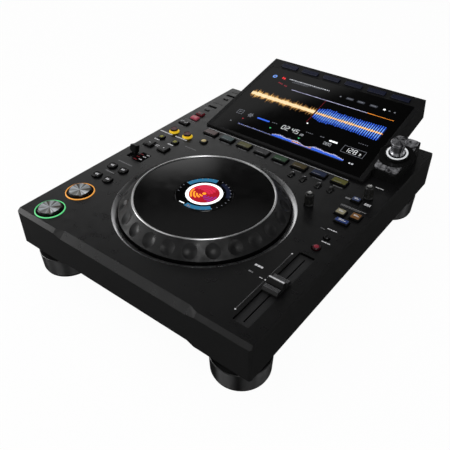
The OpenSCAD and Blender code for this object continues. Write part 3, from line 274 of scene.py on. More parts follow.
BLACK = (0.0033, 0.0033, 0.0035)
case_black = shade("case_black", BLACK, 0.31, grain=0.3, grain_size=0.35, patch=0.08, sides=0.8, soft=0.7)
housing_black = shade("housing_black", scaled(BLACK, 1.6), 0.37, level=0.4, grain=0.3, grain_size=0.35,
                      patch=0.08, sides=0.8)
steel_black = shade("steel_black", (0.012, 0.012, 0.013), 0.55, level=0.3, grain=0.6, grain_size=0.8)
rubber = shade("rubber", even(0.008), 0.8, level=0.2, grain=0.5, grain_size=0.9)
steel = shade("steel", (0.55, 0.55, 0.57), 0.3, metal=1.0, grain=0.1)
board_green = shade("board_green", (0.012, 0.075, 0.03), 0.35, grain_size=1.4)
board_blue = shade("board_blue", (0.012, 0.05, 0.075), 0.35, grain_size=1.4)
socket_black = shade("socket_black", even(0.01), 0.45, level=0.3)
fader_plate = shade("fader_plate", (0.035, 0.035, 0.036), 0.4, metal=0.5, grain=0.3)
plated = shade("plated", (0.3, 0.3, 0.32), 0.3, metal=1.0, grain=0.05)
bezel_silver = shade("bezel_silver", (0.86, 0.86, 0.87), 0.3, metal=1.0, grain=0.04, soft=0, grooves=60)
diecast = shade("diecast", (0.12, 0.12, 0.125), 0.5, metal=0.8, grain=0.6, grain_size=0.7)
gloss_black = shade("gloss_black", even(0.005), 0.14, level=0.4, grain=0.02, smear=0.03)
plate_black = shade("plate_black", even(0.0015), 0.1, level=0.75, grain=0.02, smear=0.02, soft=0)
ring_black = shade("ring_black", (0.0085, 0.0085, 0.0088), 0.42, level=0.4, grain=0.6, grain_size=2.2,
                   smear=0.18, patch=0.6)
rim_bright = shade("rim_bright", (0.9, 0.9, 0.91), 0.29, metal=1.0, grain=0.02, smear=0.02, soft=0)
glass_black = shade("glass_black", even(0.0012), 0.05, level=0.45, grain=0.01, smear=0.02, soft=0)
soft_key_smoked = shade("soft_key_smoked", tone(20, 24, 44), 0.18, grain=0.03)
pad_grey = mottled("pad_grey", tone(34, 34, 36), tone(132, 132, 135), 5.0, 0.3)
knob_black = shade("knob_black", even(0.006), 0.3)
knob_rib = shade("knob_rib", (0.11, 0.11, 0.1), 0.2, metal=0.8, level=0.8, grain=0.3)
knob_silver = shade("knob_silver", (0.4, 0.4, 0.39), 0.24, metal=0.6, grain=0.06)
key_dark = shade("key_dark", even(0.004), 0.24, level=0.4, grain=0.1)
cap_dark = shade("cap_dark", even(0.01), 0.4, level=0.4)
lever_dark = shade("lever_dark", (0.003, 0.0035, 0.0035), 0.7, level=0.12, grain=0.15)
# The feet's drums: painted sheen on their sides and painted shade on their tops
foot_dark = drum_painted_sheen_and_shade("foot_dark", even(0.012), (0.17, 0.17, 0.172))
foot_lip = shade("foot_lip", even(0.2), 0.3, metal=1.0, grain=0.03, turned=0.4)
# The discs of play and cue and the selector knob carry painted highlight streaks
turned_steel_painted_streaks = turned_metal_painted_streaks("turned_steel_painted_streaks", tone(104, 98, 88), tone(244, 250, 255), 0.5)
selector_smoke_painted_streaks = turned_metal_painted_streaks("selector_smoke_painted_streaks", tone(24, 24, 26), tone(206, 206, 210), 0.3)
# Black without gloss for painted shade in the key gaps, on the ring's lower wall and in the slider's recess,
# and for the ground of the striped block by the lever
painted_shade_and_block_black = shade("painted_shade_and_block_black", even(0.0008), 0.9, level=0.05, soft=0)
lever_top_grey = shade("lever_top_grey", even(0.03), 0.5, level=0.3, grain=0.3)
print_grey = shade("print_grey", tone(118, 118, 120), 0.6, level=0.2, grain=0.1, soft=0)
# White for print, and for the painted glints on the tiny keys
print_and_glint_white = shade("print_and_glint_white", tone(205, 205, 208), 0.6, level=0.2, grain=0.1, soft=0)
print_red = shade("print_red", tone(104, 24, 30), 0.6, level=0.2, grain=0.1, soft=0)


def glowing(name, red, green, blue, glow=0.15, rough=0.3):
    """A translucent key or ring with a lamp under it."""
    return shade(name, tone(red, green, blue), rough, grain=0.05, glow=glow, patch=0.16)


HOT_CUES = ((92, 62, 58), (66, 90, 92), (112, 110, 60), (70, 70, 72), (52, 92, 58), (96, 84, 52),
            (52, 62, 92), (124, 122, 60))
hot_cue_paints = [glowing("hot_cue_%d" % i, *(v * 0.66 for v in colour), glow=0.08, rough=0.16)
                  for i, colour in enumerate(HOT_CUES, 1)]
slip_red = glowing("slip_red", 158, 70, 84, 0.2)
quantize_red = glowing("quantize_red", 92, 22, 32)
reset_base = glowing("reset_base", 40, 10, 15, 0.05)
reset_top = glowing("reset_top", 122, 30, 46, 0.1)
ring_lit = glowing("ring_lit", 222, 224, 226, 0.35)
lit_green = glowing("lit_green", 96, 205, 130, 0.5)
lit_orange = glowing("lit_orange", 235, 160, 70, 0.5)
lit_amber = glowing("lit_amber", 224, 190, 40, 0.35)
loop_dark = glowing("loop_dark", 40, 12, 10, 0.04)
loop_red = glowing("loop_red", 66, 10, 13, 0.08)
olive = glowing("olive", 118, 116, 42, 0.12)
gold = glowing("gold", 176, 160, 112)
key_cream = glowing("key_cream", 128, 122, 100)
key_amber = glowing("key_amber", 104, 70, 34)
key_blue = glowing("key_blue", 36, 54, 104)
key_slate = glowing("key_slate", 52, 62, 92, 0.12)


LIT_COLOURS = {
    "white": (235, 238, 240), "cream": (212, 190, 150), "warm": (214, 128, 44), "blue": (44, 84, 190),
    "pale": (96, 138, 214), "red": (214, 40, 44), "grey": (92, 94, 100), "dim": (46, 48, 54),
    "mint": (60, 160, 100), "teal": (34, 92, 124), "magenta": (176, 34, 60), "crimson": (140, 16, 30),
    "ember": (240, 140, 40), "purple": (110, 40, 120), "night": (14, 18, 34), "brown": (96, 66, 34),
    "gold": (206, 158, 84), "thread": (160, 160, 190), "deep": (12, 22, 66), "wine": (120, 30, 40),
    "ghost": (48, 50, 56), "silver": (176, 178, 184),
}
# Lit marks under the glass
LIT = {
    name: shade("lit_" + name, tone(*colour), 0.1, grain=0.01, patch=0.06, smear=0.02, glow=0.9, soft=0)
    for name, colour in LIT_COLOURS.items()
}

NODES_OF_PAINT = (
    (case_black, "top_case"), (housing_black, "display_housing"), (steel_black, "chassis display_cover"),
    (foot_dark, "feet"), (rubber, "foot_pads"), (steel, "screws jog_bearings lcd_module selector_shaft"),
    (board_green, "main_board power_supply"), (board_blue, "key_board"),
    (socket_black, "rear_sockets power_switch"), (plated, "usb_sockets"), (bezel_silver, "jog_bezel"),
    (diecast, "jog_base jog_post"), (gloss_black, "jog_display selector_block"), (ring_black, "jog_ring"),
    (rim_bright, "jog_rim"), (plate_black, "jog_plate"), (glass_black, "display_glass"),
    (soft_key_smoked, "display_keys"), (pad_grey, "selector_pads"), (selector_smoke_painted_streaks, "selector_knob"),
    (fader_plate, "fader_unit"), (cap_dark, "fader_cap reloop_button"), (lever_dark, "direction_lever"),
    (lit_green, "play_button"), (lit_orange, "cue_button"), (lit_amber, "loop_in_button loop_out_button"),
    (slip_red, "slip_key"), (quantize_red, "quantize_key"), (reset_base, "reset_button"),
    (knob_black, "jog_feel_knob brake_knob"),
)


def paint_nodes():
    """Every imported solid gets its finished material: its own, or that of the dark keys."""
    paints = {name: paint for paint, names in NODES_OF_PAINT for name in names.split()}
    for name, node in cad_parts.items():
        paint = paints.get(name, key_dark)
        if not node.material_slots:
            node.data.materials.append(paint)
        for material_slot in node.material_slots:
            material_slot.material = paint


# ---- drawing in millimetres
def ring(radius, steps, centre=(0.0, 0.0), start=0.0, sweep=360.0):
    """Points round a circle, or along an arc with both its ends."""
    count = steps if sweep == 360.0 else steps + 1
    turns = [radians(start + sweep * i / steps) for i in range(count)]
    return [(centre[0] + radius * cos(t), centre[1] + radius * sin(t)) for t in turns]


CORNER_STEPS = 4
SHARPEST = 0.3


def rounded(width, depth, radius, centre=(0.0, 0.0)):
    """The outline of a rectangle with rounded corners."""
    points = []
    for corner, (sx, sy) in enumerate(((1, 1), (-1, 1), (-1, -1), (1, -1))):
        middle = (centre[0] + sx * (width / 2 - radius), centre[1] + sy * (depth / 2 - radius))
        points += ring(radius, CORNER_STEPS, middle, corner * 90.0, 90.0)
    return points


def inset(outline, by):
    """The outline moved inwards, for a chamfer."""
    count = len(outline)
    moved = []
    for i in range(count):
        before, here, after = (Vector(outline[(i + k) % count]) for k in (-1, 0, 1))
        one = (here - before).normalized().orthogonal()
        two = (after - here).normalized().orthogonal()
        normal = (one + two).normalized()
        moved.append(here + normal * by / max(SHARPEST, normal.dot(one)))
    return moved


def new_object(name, data):
    """An object with that data, in the scene."""
    made = bpy.data.objects.new(name, data)
    bpy.context.scene.collection.objects.link(made)
    return made


# Thickness of lit marks and of print, and the angle from which an edge stays sharp
THIN = 0.05
PRINT = 0.06
SHARP = radians(38.0)


class Sketch:
    """Collects solid shapes in millimetres and makes one piece of them."""

    def __init__(self, place, paint):
        self.mesh = bmesh.new()
        self.place = place
        self.paints = [paint]
        self.paint = 0

    def use(self, paint):
        """What follows is drawn in this paint."""
        if paint not in self.paints:
            self.paints.append(paint)
        self.paint = self.paints.index(paint)
        return self

    def ink(self, name):
        """What follows is drawn as a lit mark of that name."""
        return self.use(LIT[name])

    def loft(self, loops, closed=False):
        rows = [[self.mesh.verts.new(p) for p in loop] for loop in loops]
        pairs = list(zip(rows, rows[1:]))
        if closed:
            pairs.append((rows[-1], rows[0]))
        for low, high in pairs:
            for i in range(len(low)):
                k = (i + 1) % len(low)
                self.add((low[i], low[k], high[k], high[i]))
        if not closed:
            self.add(rows[0])
            self.add(rows[-1])
        return self

    def add(self, corners):
        self.mesh.faces.new(corners).material_index = self.paint

    def slab(self, outline, low=0.0, high=THIN, chamfer=0.0):
        flat = [[(x, y, low) for x, y in outline], [(x, y, high - chamfer) for x, y in outline]]
        if chamfer:
            flat.append([(x, y, high) for x, y in inset(outline, chamfer)])
        return self.loft(flat)

    def disc(self, radius, low=0.0, high=THIN, centre=(0.0, 0.0), steps=48):
        return self.slab(ring(radius, steps, centre), low, high)

    def lathe(self, profile, centre=(0.0, 0.0), steps=96, closed=False):
        """profile lists (radius, height). closed joins its last point to its first, which makes a ring."""
        return self.loft([[(x, y, z) for x, y in ring(r, steps, centre)] for r, z in profile], closed)

    def hoop(self, inner, outer, low=0.0, high=THIN, centre=(0.0, 0.0), steps=96):
        return self.lathe([(inner, low), (outer, low), (outer, high), (inner, high)], centre, steps, True)

    def arc(self, inner, outer, start, sweep, low=0.0, high=THIN, centre=(0.0, 0.0)):
        steps = max(2, int(abs(sweep) / 4))
        outline = ring(outer, steps, centre, start, sweep) + ring(inner, steps, centre, start, sweep)[::-1]
        return self.slab(outline, low, high)

    def box(self, x0, y0, x1, y1, low=0.0, high=THIN):
        return self.slab([(x1, y1), (x0, y1), (x0, y0), (x1, y0)], low, high)

    def frame(self, x0, y0, x1, y1, line, low=0.0, high=THIN):
        """Four strokes round a rectangle."""
        self.box(x0, y0, x1, y0 + line, low, high)
        self.box(x0, y1 - line, x1, y1, low, high)
        self.box(x0, y0 + line, x0 + line, y1 - line, low, high)
        return self.box(x1 - line, y0 + line, x1, y1 - line, low, high)

    def border(self, x, y, width, depth, line, low=0.0, high=PRINT):
        """A frame from its middle and its size."""
        return self.frame(x - width / 2, y - depth / 2, x + width / 2, y + depth / 2, line, low, high)

    def bar(self, start, end, width, low=0.0, high=THIN):
        """A straight stroke between two points."""
        a, b = Vector(start), Vector(end)
        side = (b - a).normalized().orthogonal() * (width / 2)
        return self.slab([a - side, b - side, b + side, a + side], low, high)

    def words(self, x0, x1, y, height=1.4, low=0.0, high=PRINT, seed=1, gap=0.5, runs=(1.4, 3.6)):
        """Plain dashes where a label is printed, from x0 to x1 round the height y."""
        pick = random.Random(seed)
        while x0 < x1 - 0.7:
            run = min(pick.uniform(*runs), x1 - x0)
            self.box(x0, y - height / 2, x0 + run, y + height / 2, low, high)
            x0 += run + gap
        return self

    def done(self, name, body, slot):
        bmesh.ops.recalc_face_normals(self.mesh, faces=self.mesh.faces)
        data = bpy.data.meshes.new(name)
        self.mesh.to_mesh(data)
        self.mesh.free()
        data.transform(self.place)
        data.shade_smooth()
        data.set_sharp_from_angle(angle=SHARP)
        for paint in self.paints:
            data.materials.append(paint)
        piece = new_object(name, data)
        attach(piece, body)


# ---- play and cue
# Radii of the raised middle and of the groove round it, and how far the middle stands over the groove
CORE_R = 13.4
GROOVE_R = 16.15
CORE_RISE = 3.2


def big_button(node, slot):
    """A dark sleeve and groove inside the lit ring, and a turned metal disc on the raised middle."""
    face = Sketch(on(node), gloss_black)
    face.hoop(CORE_R + 0.1, GROOVE_R, -CORE_RISE, THIN - CORE_RISE)
    face.lathe([(CORE_R + 0.02, -CORE_RISE), (CORE_R + 0.1, -CORE_RISE), (CORE_R + 0.1, -0.6),
                (CORE_R - 0.5, 0.06), (CORE_R - 1.1, 0.06), (CORE_R - 1.1, -0.1), (CORE_R - 0.62, 0.02),
                (CORE_R + 0.02, -0.62)], closed=True)
    face.done(node + "_sleeve", node, slot)
    disc = Sketch(on(node), turned_steel_painted_streaks)
    disc.lathe([(0.05, -0.3), (12.3, -0.3), (12.3, 0.02), (11.9, 0.08), (11.4, -0.02), (0.05, -0.14)])
    disc.done(node + "_disc", node, slot)


# ---- the jog
# Radii of the round display, of the picture in its middle and of the scale round that
JOG_SCREEN_R = 32.4
PICTURE_R = 17.6
SCALE_R = 24.4


def jog_screen():
    """The round display: a ring scale, a white ring and a made-up picture of arcs."""
    sketch = Sketch(on("jog_display"), glass_black)
    sketch.disc(JOG_SCREEN_R, 0, 0.02)
    sketch.ink("white").hoop(PICTURE_R, PICTURE_R + 3.8, 0, THIN)
    sketch.ink("crimson").disc(PICTURE_R, 0, 0.04, steps=72)
    sketch.ink("teal").arc(SCALE_R, SCALE_R + 6.2, 96, 74)
    sketch.arc(SCALE_R, SCALE_R + 6.2, 262, 62)
    sketch.ink("night").arc(SCALE_R + 0.6, SCALE_R + 5.6, 18, 62)
    for i in range(30):
        if not 205 < i * 12 < 268:
            sketch.ink("grey").arc(29.2, 31.0, i * 12, 1.6, 0, THIN * 1.3)
    for i in range(4):
        sketch.ink("magenta").arc(3.6 + i * 3.4, 6.6 + i * 3.4, 20 + i * 14, 118)
        sketch.ink("ember").arc(4.0 + i * 3.4, 6.0 + i * 3.4, 225 - i * 16, 62)
        sketch.ink("purple").arc(4.0 + i * 3.4, 5.6 + i * 3.4, 292 + i * 9, 52)
    sketch.ink("ember").disc(2.2)
    sketch.ink("warm")
    for k in (-1, 0, 1, 2):
        sketch.box(k * 1.5 - 0.35, -29.8, k * 1.5 + 0.35, -26.6)
    sketch.ink("white").words(-13, -6, -27.5, 1.6, 0, THIN, 3)
    sketch.done("jog_screen_picture", "case", "gloss_black")


# ---- the main screen
# Heights up the screen of the two waveforms' middles, and where the overview starts
PLAYED_U = 88.6
COMING_U = 88.0
TRACK_X = -78.7
TRACK_U = 20.4


def bar_about(sketch, ink, x, width, middle, tall, high):
    sketch.ink(ink).box(x, middle - tall, x + width, middle + tall, 0, high)


def left_wave(sketch):
    """The spiky part of the zoomed waveform, which has played: dim tips, a gold middle and a cream core."""
    pick = random.Random(5)
    for i in range(53):
        x = -102.4 + i * 2.0
        reach = min(1.0, 0.5 + i / 7) * (10.4 - i * 0.045)
        tall = reach * (0.45 + 0.55 * pick.random())
        bar_about(sketch, "brown", x, 1.0, PLAYED_U, tall + 2.6 * pick.random(), THIN)
        bar_about(sketch, "gold", x, 1.1, PLAYED_U, tall * 0.8, THIN * 1.3)
        bar_about(sketch, "cream", x, 1.8, PLAYED_U, 1.6 + tall * 0.24, THIN * 1.6)


def right_wave(sketch):
    """The part still to play: blue stripes with pale middles and a broken cream core."""
    pick = random.Random(9)
    for i in range(30):
        x = 6.0 + i * 3.3
        grow = min(1.0, 0.7 + i / 10)
        tall = grow * (14.8 + 1.2 * sin(x * 0.09)) * (0.86 + 0.14 * pick.random())
        bar_about(sketch, "deep", x, 3.3, COMING_U, tall * (0.7 + 0.2 * pick.random()), THIN)
        bar_about(sketch, "blue", x, 1.5, COMING_U, tall, THIN * 1.2)
        bar_about(sketch, "pale", x, 1.3, COMING_U, tall * (0.56 + 0.2 * pick.random()), THIN * 1.4)
        bar_about(sketch, "cream", x, 1.5, COMING_U + 0.2, 1.6 + 1.8 * pick.random(), THIN * 1.7)
        bar_about(sketch, "warm", x + 1.5, 1.6, COMING_U, 0.7 + 0.7 * pick.random(), THIN * 1.6)


def overview_wave(sketch):
    """The whole track, low on the screen: a flat start, then blue with pale peaks."""
    pick = random.Random(14)
    for i in range(182):
        x = TRACK_X + i * 0.9
        if x < -23:
            sketch.ink("thread" if i % 3 else "blue")
            sketch.box(x, TRACK_U, x + 0.7, TRACK_U + 0.4 + 0.9 * pick.random() ** 2)
            continue
        busy = 8 < x < 38
        tall = (4.6 + 2.6 * sin(x * 0.17) * sin(x * 0.05)) * (0.7 + 0.3 * pick.random())
        sketch.ink("blue").box(x, TRACK_U, x + 0.8, TRACK_U + tall * (0.4 if busy else 1))
        sketch.ink("thread")
        sketch.box(x, TRACK_U + tall * 0.82, x + 0.8, TRACK_U + tall * 1.08 + 0.3, 0, THIN * 1.3)
        if busy:
            sketch.ink("warm" if i % 2 else "thread")
            sketch.box(x, 21.4, x + 0.7, 21.4 + tall * 0.7 * pick.random(), 0, THIN * 1.5)
    sketch.ink("dim").box(TRACK_X, 19.2, 85.6, 19.6)


SEGMENTS = {"0": "abcdef", "1": "bc", "2": "abged", "3": "abgcd", "4": "fgbc", "5": "afgcd",
            "8": "abcdefg"}


def digit(sketch, which, x, y, tall, line):
    """A seven-part figure."""
    wide = tall * 0.52
    half = tall / 2
    ends = {
        "a": ((0, tall), (wide, tall)), "b": ((wide, half), (wide, tall)), "c": ((wide, 0), (wide, half)),
        "d": ((0, 0), (wide, 0)), "e": ((0, 0), (0, half)), "f": ((0, half), (0, tall)),
        "g": ((0, half), (wide, half)),
    }
    for part in SEGMENTS[which]:
        start, end = ends[part]
        sketch.bar((x + start[0], y + start[1]), (x + end[0], y + end[1]), tall * line)


FIGURES = (
    # text, where it starts, height up the screen, size, share of the size that a stroke is wide, ink
    ("02", -19.0, 38.4, 7.4, 0.06, "white"), ("45", -3.6, 38.4, 7.4, 0.06, "white"),
    ("38", 10.8, 37.6, 3.4, 0.08, "silver"), ("000", 47.0, 37.0, 4.6, 0.07, "silver"),
    ("128", 77.0, 37.8, 7.2, 0.06, "white"), ("3", 97.0, 37.8, 3.8, 0.08, "white"),
)


def figures(sketch):
    for text, x, y, tall, line, ink in FIGURES:
        sketch.ink(ink)
        for i, which in enumerate(text):
            digit(sketch, which, x + i * tall * 0.84, y, tall, line)


SCREEN_WORDS = (
    # x0, x1, height up the screen, size
    (-36.5, -27.5, 43.8, 0.9), (15.5, 25.5, 47.3, 0.9), (36.5, 44.0, 48.3, 0.9), (93.0, 101.0, 20.7, 1.6),
    (86.0, 99.0, 59.3, 0.7), (-69.5, -2.7, 139.3, 1.3), (-62.0, -36.0, 134.6, 1.0),
    (-60.0, -14.0, 137.2, 0.7),
)


def screen_words(sketch):
    for i, (x0, x1, y, height) in enumerate(SCREEN_WORDS):
        sketch.ink("silver" if i in (3, 5) else "grey")
        sketch.words(x0, x1, y, height * 1.3, 0, THIN, i + 3, 1.5, (0.9, 2.6))
    sketch.ink("white").slab(rounded(12.0, 2.7, 0.8, (57.0, 46.4)))


def screen_icons(sketch):
    """Signs beside the waveforms, in the bottom row and in the top row."""
    sketch.ink("grey").frame(-95.0, 38.8, -86.0, 47.8, 0.6)
    sketch.bar((-91.5, 41.6), (-91.5, 45.0), 0.7)
    sketch.bar((-91.5, 43.0), (-88.6, 45.0), 0.7)
    sketch.hoop(2.4, 3.3, 0, THIN, (-72.8, 43.0), 24)
    for tip in ring(4.8, 6, (-72.8, 43.0)):
        sketch.bar((-72.8, 43.0), tip, 0.7)
    sketch.ink("wine").disc(1.2, 0, THIN, (-78.5, 32.2), steps=20)
    sketch.ink("grey").slab([(-92.4, 19.8), (-89.6, 21.0), (-92.4, 22.2)][::-1])
    sketch.ink("mint")
    for x, u in ((-32.6, 32.3), (13.4, 31.7)):
        sketch.slab([(x, u - 1.4), (x + 1.6, u + 1.2), (x - 1.6, u + 1.2)])
    sketch.ink("pale").hoop(2.0, 3.4, 0, THIN, (-93.6, 136.3), 28)
    sketch.ink("grey")
    for tip in ring(2.6, 4, (-93.6, 136.3), 45):
        sketch.bar((-93.6, 136.3), tip, 0.8)
    for x, u in ((-80.2, 138.0), (-77.0, 137.2)):
        sketch.ink("red").slab(rounded(2.2, 4.2, 0.8, (x, u)))
    for x, u in ((-79.4, 125.6), (-76.4, 125.0), (-73.4, 124.2), (-67.6, 122.8), (-64.8, 122.2)):
        sketch.ink("wine").slab(rounded(1.8, 2.4, 0.5, (x, u)))
    sketch.ink("blue").slab(rounded(20.5, 2.6, 1.2, (-50.8, 42.8)))
    for x in (32.1, 49.1, 68.1):
        sketch.ink("ghost").slab(rounded(11.0, 4.6, 0.9, (x, 135.2)))
        sketch.ink("grey")
        sketch.words(x - 4.0, x + 4.2, 135.4, 1.6, THIN, 1.6 * THIN, int(x), 0.4, (0.6, 1.4))
    for x, reach in ((17.9, 1.3), (84.2, 1.7), (91.4, 1.3), (99.0, 1.3)):
        sketch.ink("white" if reach > 1.5 else "grey").disc(reach, 0, THIN, (x, 134.6), steps=20)


def main_screen():
    sketch = Sketch(SCREEN, LIT["cream"])
    left_wave(sketch)
    right_wave(sketch)
    overview_wave(sketch)
    screen_words(sketch)
    screen_icons(sketch)
    for u in range(66, 116, 4):
        sketch.ink("wine").box(4.4, u, 4.9, u + 2.6, 0, THIN * 2.4)
    sketch.ink("white").disc(1.1, 0, THIN, (7.3, 63.7), steps=16)
    pick = random.Random(21)
    x = -53.0
    while x < 105.0:
        run = pick.uniform(1.2, 4.4)
        sketch.ink("thread" if x < 66 else "warm")
        sketch.box(x, 117.9, min(105.4, x + run), 118.4 + 0.6 * pick.random())
        x += run
    sketch.ink("grey").frame(73.0, 34.8, 104.0, 47.8, 0.5)
    figures(sketch)
    sketch.done("screen_picture", "case", "display_glass")


# ---- print on the deck, painted shade in the key gaps and painted glints on the tiny keys
DECK_WORDS = (
    # x0, x1, y, height, 1 for white print
    (-148.7, -124.7, 144.0, 1.7, 0), (-144.7, -129.8, 118.5, 1.8, 0), (-140.1, -131.2, 202.7, 1.0, 1),
    (-140.1, -131.2, 200.1, 1.0, 1), (-151.3, -142.8, 213.6, 2.3, 1), (-126.9, -117.9, 213.6, 2.3, 1),
    (-159.8, -138.1, 234.9, 2.3, 1), (-132.3, -112.1, 234.9, 2.3, 1), (-154.3, -143.1, 262.6, 1.0, 0),
    (-156.0, -138.3, 282.0, 1.2, 0), (-104.0, -84.6, 222.7, 1.2, 0), (144.6, 152.2, 250.0, 1.6, 1),
    (144.6, 152.2, 247.6, 1.6, 1), (123.6, 154.7, 233.0, 1.3, 0), (123.6, 149.0, 231.0, 0.8, 0),
    (133.7, 145.1, 184.0, 1.3, 1), (127.0, 133.0, 180.6, 0.8, 0), (139.0, 150.0, 161.6, 1.3, 1),
    (139.6, 150.1, 288.2, 1.4, 1), (104.8, 114.6, 89.6, 2.6, 1), (104.8, 110.0, 78.5, 1.8, 0),
    (118.8, 122.4, 77.0, 1.0, 1), (-156.0, -141.0, 326.9, 1.0, 0), (-156.0, -141.0, 372.0, 1.0, 0),
)


TEMPO_X = 125.6
TEMPO_MIDDLE = 77
HOT_CUE_NAMES = ["hot_cue_key_%d" % k for k in range(1, 9)]
SEARCH_NAMES = ["search_button_%d" % k for k in range(1, 5)]


def deck_print():
    """Labels, the tempo scale and the fine line in front of the display."""
    sketch = Sketch(DECK, print_grey)
    for seed, node in enumerate(HOT_CUE_NAMES, 20):
        x = middle_of(node).x
        sketch.words(x - 4, x + 9, 261.2, 1.0, seed=seed)
    for seed, (x0, x1, y, height, white) in enumerate(DECK_WORDS):
        sketch.use(print_and_glint_white if white else print_grey).words(x0, x1, y, height, seed=seed)
    sketch.use(print_grey)
    for y in range(31, 124, 2):
        if abs(y - TEMPO_MIDDLE) > 3:
            sketch.box(TEMPO_X - 0.25, y, TEMPO_X + 0.25, y + 1.1, 0, PRINT)
    sketch.use(print_and_glint_white).box(-111, 280.8, 107, 281.45, 0, PRINT)
    for y in (29.0, TEMPO_MIDDLE + 0.2, 125.5):
        sketch.disc(0.9, 0, PRINT, (TEMPO_X, y), steps=20)
    sketch.use(print_grey).slab(rounded(7.0, 3.0, 0.6, (124.5, 247.5)), 0, PRINT)
    sketch.done("deck_print", "case", "case_plastic")


ROUND_KEYS = (*SEARCH_NAMES, "loop_halve_button", "loop_double_button", "reloop_button", "range_button",
              "reset_button")
SQUARE_KEYS = (*HOT_CUE_NAMES, "jump_key_back", "jump_key_forward", "beat_loop_key", "slip_key",
               "quantize_key")
FUNCTION_KEYS = (
    # x, y, width and depth of the key, width and depth of its inlay, paint
    (134.2, 248.6, 11.0, 9.0, 9.0, 7.0, key_slate), (131.5, 217.0, 12.0, 10.5, 10.0, 8.6, key_cream),
    (149.0, 219.0, 12.0, 12.0, 10.0, 10.0, key_amber), (140.4, 202.6, 16.5, 8.0, 14.6, 6.2, key_blue),
)
COLLAR = 1.1


def key_gap_painted_shade():
    """Painted shade: black sheets in the gaps in which the keys stand."""
    sketch = Sketch(DECK, painted_shade_and_block_black)
    for node in ROUND_KEYS:
        middle, reach = middle_of(node), size_of(node).x / 2
        sketch.hoop(reach - COLLAR + 0.1, reach - 0.2, 0, PRINT, middle.xy, 48)
    for node in SQUARE_KEYS:
        middle, size = middle_of(node), size_of(node)
        sketch.border(*middle.xy, size.x - 0.4, size.y - 0.4, COLLAR - 0.3)
    for x, y, width, depth, *_ in FUNCTION_KEYS:
        sketch.border(x, y, width + 1.4, depth + 1.4, 0.7)
    sketch.done("key_gap_painted_shade", "case", "case_plastic")


TINY_TOP = 1.2
TINY_KEYS = ((45.6, 253.2), (62.2, 253.2), (100.0, 253.2), (83.9, 252.2))


def tiny_caps():
    """Glossy domes on the four tiny round keys, three of them with a pale stroke that is a painted glint."""
    sketch = Sketch(at(0, 0, TINY_TOP), knob_black)
    for x, y in TINY_KEYS:
        sketch.use(knob_black)
        sketch.lathe([(0.05, 0.0), (3.3, 0.0), (3.1, 0.4), (2.2, 0.75), (0.05, 0.85)], (x, y), 32)
        if x < 90:
            # Painted highlight: a glint on the dome
            sketch.use(print_and_glint_white).bar((x - 1.0, y + 0.4), (x + 0.8, y + 0.9), 0.6, 0.74, 0.9)
    sketch.done("tiny_caps", "case", "lit_key")


def lever_scale():
    """The striped block beside the direction lever."""
    sketch = Sketch(DECK, painted_shade_and_block_black)
    sketch.slab(rounded(15.5, 21.0, 1.0, (-129.8, 167.0)), 0, PRINT)
    for x, y in ((-126.0, 175.0), (-127.3, 169.4), (-127.9, 162.3)):
        sketch.use(print_and_glint_white).words(x - 2.6, x + 2.6, y, 1.4, PRINT, 2 * PRINT, 3)
    for x, y in ((-134.6, 172.5), (-134.8, 165.7), (-134.1, 159.2)):
        sketch.use(print_red).box(x - 2.8, y - 0.8, x + 2.6, y + 0.8, PRINT, 2 * PRINT)
    sketch.done("lever_scale", "case", "case_plastic")


# ---- tops of the keys
INLAY = 0.25


def key_top(name, place, body, width, depth, face, stroke, marks, slot="grey_button"):
    """A coloured inlay on a key, with pale strokes on it: each mark is x0, y0, x1, y1."""
    sketch = Sketch(place, face)
    sketch.slab(rounded(width, depth, 0.8), 0, INLAY, 0.15)
    for x0, y0, x1, y1 in marks:
        sketch.use(stroke).box(x0, y0, x1, y1, INLAY, INLAY + PRINT)
    sketch.done(name, body, slot)


def own_top(node, *rest):
    key_top(node + "_top", on(node), node, *rest)


def key_tops():
    """Inlays of the keys that move on their own."""
    for node, paint in zip(HOT_CUE_NAMES, hot_cue_paints):
        own_top(node, 18.2, 9.6, paint, print_grey, ((-6.5, -3.6, 3.5, -2.9),))
    for node in ("jump_key_back", "jump_key_forward"):
        own_top(node, 11.6, 10.6, key_dark, print_and_glint_white, ((-1.0, -0.4, 1.2, 0.9),))
    own_top("beat_loop_key", 13.6, 5.6, key_dark, print_and_glint_white,
            ((-5.6, 1.4, -1.0, 2.0), (-5.6, -2.0, -5.0, 2.0), (1.5, -1.8, 5.6, -1.2), (5.0, -1.8, 5.6, 1.8)))
    own_top("slip_key", 9.6, 6.2, slip_red, key_cream, ((-2.4, -0.5, 2.4, 0.5),), "red_key")
    own_top("quantize_key", 9.4, 6.0, key_dark, slip_red, ((-3.6, -0.5, 1.2, 0.4),), "red_key")


def function_tops():
    """Inlays of the square keys at the right."""
    for i, (x, y, _, _, width, depth, paint) in enumerate(FUNCTION_KEYS, 1):
        marks = ((-width * 0.3, -0.4, width * 0.3, 0.5), (-width * 0.3, 1.4, width * 0.1, 2.0))
        key_top("function_top_%d" % i, at(x, y, KEY_TOP), "case", width, depth, paint, print_and_glint_white, marks)


DISHED = 0.4


def round_marks():
    """Signs on the round buttons."""
    for node, way in zip(SEARCH_NAMES, (-1, 1, -1, 1)):
        sketch = Sketch(on(node, -DISHED), print_and_glint_white)
        for x in (-2.3, 0.3):
            sketch.slab([(way * x, 2.1), (way * (x + 2.6), 0.0), (way * x, -2.1)], 0, 0.12)
        sketch.done(node + "_mark", node, "grey_button")
    for node, paint, reach in (("loop_halve_button", olive, 2.9), ("loop_double_button", olive, 2.9),
                               ("reloop_button", gold, 3.6), ("reset_button", reset_top, 3.7)):
        sketch = Sketch(on(node, -DISHED), paint)
        sketch.lathe([(0.05, 0), (reach, 0), (reach - 0.3, 0.3), (reach * 0.5, 0.5), (0.05, 0.55)], steps=48)
        sketch.done(node + "_top", node, "amber_button")


